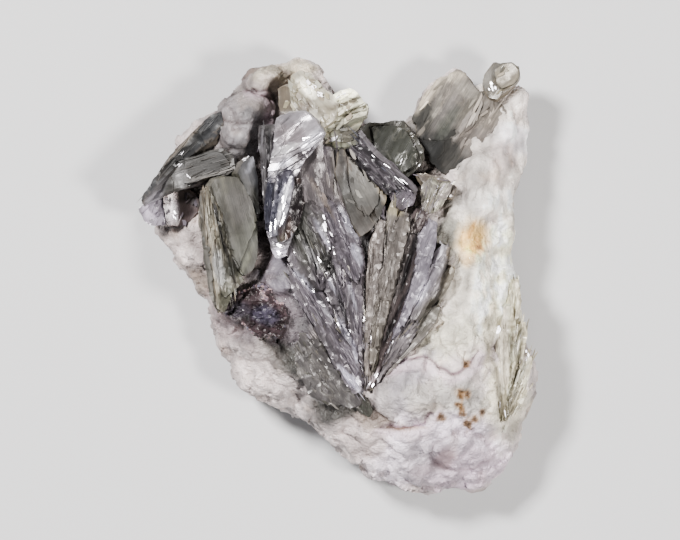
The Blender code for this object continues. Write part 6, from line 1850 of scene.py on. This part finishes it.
def tip_book() -> MicaCrystal:
    """A small book on the fin's tip: a dark facet with a white flash, and a tan part."""
    lower = Sheet([(32, 43.8), (32.8, 45.8), (34.6, 47.6), (36, 47.4), (38.4, 47.8), (40, 46.6), (40.2, 44.8),
        (39.2, 42.9), (37.2, 41.2), (35, 39.4), (33.4, 39.8), (32.2, 41.6)], (36, 43, 19.4), (0.05, -0.2), 5.5, 60,
        (0.22, 0.2, 0.17), TAN, breaks=(5, 3.4, 1.6, 0.2), ripple=0.5, salt=161)
    upper = Sheet([(34.8, 46), (36.4, 47.2), (38.4, 47.4), (39.8, 46.2), (39.9, 44.8), (38.8, 43), (36.4, 41.8),
        (35, 43)], (37, 44.5, 20.2), (0.04, -0.1), 4, 40, (0.5, 0.45, 0.37), GOLD, breaks=(6, 3, 1.6, 0.2), ripple=0.6,
        salt=162)
    return MicaCrystal("tip_book", "olive_mica", [lower, upper],
        MicaFinish("tip_book_mica", 0.25, 0.26, 0.35, 0.25), (
        Scatter(9, (0.8, 2), (0.4, 0.9), (0.05, 0.1), 30, 5, 0, tints=(TAN, OLIVE, GOLD)),),
        ((33.2, 43.8, 34.6, 41.4, 1), (33.4, 42.2, 34.4, 40.8, 0.6)))


def fin_mica() -> MicaCrystal:
    """A thin skin of grey mica over the upper left of the right horn."""
    skin = Sheet([(16.4, 35.6), (17.8, 38), (18.8, 40.4), (20.4, 42.2), (22, 44), (24.2, 44.8), (26.4, 46.2),
        (27.8, 45.4), (29, 43.6), (30.2, 42), (33, 41), (35.4, 39.4), (37, 36.6), (35.4, 33.8), (33.2, 32),
        (31.8, 29.6), (29.6, 26.6), (27.6, 24), (26.4, 22.6), (23.4, 23.2), (20.6, 25), (19.4, 28), (17.8, 31.6)],
        (25, 36, 16.9), (0.13, -0.09), 2.5, 58, (0.25, 0.23, 0.212), (0.5, 0.44, 0.37), breaks=(5, 7, 2, 0.12),
        ripple=0.3, rough=0.6, sunken=3.5, salt=171, steps=(Step([(36.6, 38.4), (32, 34.6), (28.6, 32), (24, 30.4),
        (19, 30.6)], 0.3, 6), Step([(18.4, 33.2), (22, 36.4), (24.4, 41), (25, 45)], -0.25, 4)))
    return MicaCrystal("fin_mica", "grey_mica", [skin],
        MicaFinish("fin_grey_mica", 0.08, 0.5, 0.5, 0.45, coat=0, glints=0.04, gloss=0.1), (
        Scatter(44, (2, 7), (0.3, 1.2), (0.03, 0.06), 12, 3, 0, tints=((0.36, 0.33, 0.3), (0.26, 0.24, 0.22),
        (0.42, 0.38, 0.33), (0.2, 0.18, 0.165))),), tints_and_painted_light=stains_and_painted_light((32.5, 30.6, 9, 1.8, 30, 27, 25, 0.9, 54),
        # The near-black patches at the skin's lower left paint the shade where it falls away from the light.
        (22.4, 43, 7, 1.3, 58, 52, 44, 0.9, 42), (21.6, 27.4, 7, 5, 2, 1.9, 1.7, 1, 60),
        (18.5, 36, 2.6, 4, 10, 9.5, 8.5, 1, 60), (25.5, 25.5, 3, 4, 6, 5.6, 5), (26, 43, 6, 3.4, 27, 24.5, 22, 1, 50),
        (33, 37, 5, 4, 27, 24, 21, 1, 40), (29.5, 31, 3, 2.5, 24, 21, 19, 0.8, 50),
        (24, 37, 5, 1.4, 26, 24, 23, 0.7, 58), (29, 38, 6, 1.2, 15, 14, 12, 0.7, 50),
        (25.6, 44.6, 2.4, 1.2, 62, 56, 47, 0.9), (20.2, 40.6, 4, 1.1, 56, 50, 42, 0.9, 52),
        (28.6, 41.6, 3, 1.6, 40, 37, 33, 0.8, -40), (24.6, 35, 4, 1.4, 12, 12.5, 10.8, 0.7, 58),
        (30.4, 36.4, 5, 0.8, 38, 35, 32, 0.8, 45), (22, 38, 2.6, 0.8, 40, 37, 33, 0.8, 70),
        (27.4, 33.4, 4, 0.5, 36, 33, 31, 0.8, 60)))


def rim_mica() -> MicaCrystal:
    """Golden strands down the lower right side, which meet at one point."""
    fan = Fan((36.2, -31.6, 20), ((36.4, -12, 23.2, 3.4, 0.1), (37.8, -6.4, 23, 3.8, -0.2),
        (39.4, -0.4, 20.2, 3.4, -0.45), (41, -10, 19.8, 3.6, -0.3), (42.4, -17.6, 18.6, 4, -0.5),
        (41.4, -23, 18, 4, -0.3)), 4.5, 0.5, ((0.9, 0.83, 0.66), (0.84, 0.78, 0.61), (0.78, 0.71, 0.54),
        (0.92, 0.85, 0.68)), salt=900, sunken=1.9)
    return MicaCrystal("rim_mica", "golden_mica", fan.sheets(),
        MicaFinish("rim_gold_mica", 0.1, 0.32, 0.45), (
        Scatter(300, (2, 7), (0.14, 0.36), (0.06, 0.16), 5, 7, 0.03, tints=(GOLD, (0.5, 0.45, 0.34), CREAM,
        (0.42, 0.38, 0.3))),), ((36.2, -9.6, 35.4, -12.6, 0.8), (41.6, -15.6, 41.4, -18.4, 0.6),
        (36.6, -26.2, 36.4, -28.4, 0.7)), stains_and_painted_light((36.8, -20, 8, 0.35, 14, 12, 7, 0.8, 93, 0.4),
        (38.6, -12, 7, 0.35, 16, 13, 8, 0.8, 84, 0.4), (40.4, -16, 6, 0.3, 14, 12, 7, 0.8, 80, 0.4),
        (36, -16, 1.6, 9, 76, 70, 60, 0.7), (41.6, -8, 2, 7, 62, 57, 45, 0.7), (37, -30, 3, 4, 30, 27, 20, 0.8)))


def dark_crust() -> MicaCrystal:
    """The bed under the dark grains."""
    bed = Sheet([(-26, -7.2), (-24.4, -5.4), (-22, -3.6), (-19, -2.5), (-17, -1.6), (-15, -2.8), (-14.6, -5),
        (-12.4, -6), (-11.4, -8.6), (-12, -11), (-13, -13), (-15, -13), (-17.6, -13.4), (-19.4, -11.8), (-21.4, -9.4),
        (-24, -8.6)], (-18, -8, 25.4), (0.22, -0.06), 3, 0, (0.16, 0.115, 0.125), (0.1, 0.07, 0.075), sunken=3,
        breaks=(60, 1.4, 1, 0.6), ripple=0.7, rough=0.6, salt=181)
    return MicaCrystal("dark_crust", "dark_mineral", [bed], CrustFinish(), (
        Scatter(1100, (0.5, 1.7), (0.3, 0.75), (0.3, 0.9), 180, 42, 0, lift=0.3, tints=((0.46, 0.33, 0.37),
        (0.3, 0.25, 0.31), (0.6, 0.44, 0.45), (0.33, 0.3, 0.38), (0.72, 0.56, 0.56))),), crease=30,
        tints_and_painted_light=stains_and_painted_light((-16, -8.6, 2.6, 2.2, 8, 7.2, 10, 0.9), (-22, -7, 2, 1.6, 10, 9, 11, 0.8)))


def lower_flake() -> MicaCrystal:
    """A small dark flake at the fans' foot."""
    sheet = Sheet([(4.2, -27.2), (5.8, -26.6), (7, -28), (7.6, -29.8), (6.6, -31), (5, -30.4), (4, -29)],
        (6, -29, 27.6), (0.05, 0.12), 4, 110, (0.14, 0.14, 0.12), (0.2, 0.19, 0.17), breaks=(30, 3.2, 0.8, 0.2),
        rough=0.5, sunken=1.2, salt=191)
    return MicaCrystal("lower_flake", "grey_mica", [sheet],
        MicaFinish("lower_flake_mica", 0.3, 0.25, 0.4), (
        Scatter(10, (0.8, 2), (0.2, 0.6), (0.05, 0.12), 14, 6, 0.05, tints=(ASH, SMOKE)),))


CRYSTALS = (silver_blade, crest_flakes, upper_left_blades, left_tip_book, left_book, small_book, ridge_blade,
            shell_plate, right_fan, central_fan, twin_books, green_plate, tip_book, fin_mica, rim_mica, dark_crust,
            lower_flake)


# ---------------------------------------------------------------- the studio


@dataclass(frozen=True)
class Lamp:
    """A soft square light that looks at the specimen."""

    name: str
    place: tuple[float, float, float]
    size: float
    power: float
    tint: Colour = (1, 1, 1)

    def lit(self, target: Vector) -> None:
        """Sets the light up."""
        data = bpy.data.lights.new(self.name, "AREA")
        data.size = self.size
        data.energy = self.power
        data.color = self.tint
        lamp = linked(self.name, data)
        lamp.location = self.place
        lamp.rotation_euler = (target - Vector(self.place)).to_track_quat("-Z", "Y").to_euler()


@dataclass
class Studio:
    """A plain pale floor, soft light and a camera that looks straight down."""

    middle: tuple[float, float, float] = (0.33, 1.56, 18.0)  # mm, what the camera looks at
    distance: float = 1200.0  # mm, far enough that the high blades don't spread
    frame_width: float = 151.1  # mm across the view at the middle's height
    sensor: float = 36.0
    lamps: tuple[Lamp, ...] = (
        Lamp("key", (-0.40, 0.36, 0.80), 0.16, 26.0, (1.0, 0.985, 0.97)),
        Lamp("right", (0.45, -0.15, 0.85), 0.14, 14.0, (1.0, 0.97, 0.93)),
        Lamp("front", (0.10, -0.60, 0.60), 0.3, 1.6, (0.97, 0.98, 1.0)),
    )
    daylight: float = 0.06
    sky_tint: Colour = (0.9, 0.94, 1.0)
    floor_tint: Colour = (0.52, 0.52, 0.53)
    floor_reach: float = 2.5  # metres from the middle to each side

    def built(self) -> None:
        """Makes the floor, the lights and the camera."""
        mesh = bpy.data.meshes.new("floor")
        reach = self.floor_reach
        mesh.from_pydata([(-reach, -reach, 0), (reach, -reach, 0), (reach, reach, 0), (-reach, reach, 0)], [],
                         [(0, 1, 2, 3)])
        floor = linked("floor", mesh)
        paint = bpy.data.materials.new("floor")
        paint.use_nodes = True
        shader = paint.node_tree.nodes["Principled BSDF"]
        shader.inputs["Base Color"].default_value = (*self.floor_tint, 1)
        shader.inputs["Roughness"].default_value = 0.9
        mesh.materials.append(paint)
        world = bpy.data.worlds.new("studio")
        world.use_nodes = True
        world.node_tree.nodes["Background"].inputs["Color"].default_value = (*self.sky_tint, 1)
        world.node_tree.nodes["Background"].inputs["Strength"].default_value = self.daylight
        bpy.context.scene.world = world
        target = Vector(placed(np.array(self.middle)))
        for lamp in self.lamps:
            lamp.lit(target)
        data = bpy.data.cameras.new("camera")
        data.sensor_width = self.sensor
        data.lens = self.sensor * self.distance / self.frame_width
        data.clip_end = 10
        camera = linked("camera", data)
        camera.location = target + Vector((0, 0, self.distance * MM))
        bpy.context.scene.camera = camera


def main() -> None:
    """Builds the studio, the quartz and each crystal."""
    logging.basicConfig(level=logging.INFO, format="%(name)s %(message)s")
    Studio().built()
    effects = Effects()
    flakes = FlakeField()
    quartz = Relief(FACE_HEIGHTS)
    crystals = [make() for make in CRYSTALS]
    grown: list[Sheet] = []
    for crystal in crystals:
        crystal.dressed(effects, flakes, quartz, list(grown))
        grown += crystal.sheets
    QuartzBlock().dressed(effects, grown)
    flakes.put_away()


if __name__ == "__main__":
    main()
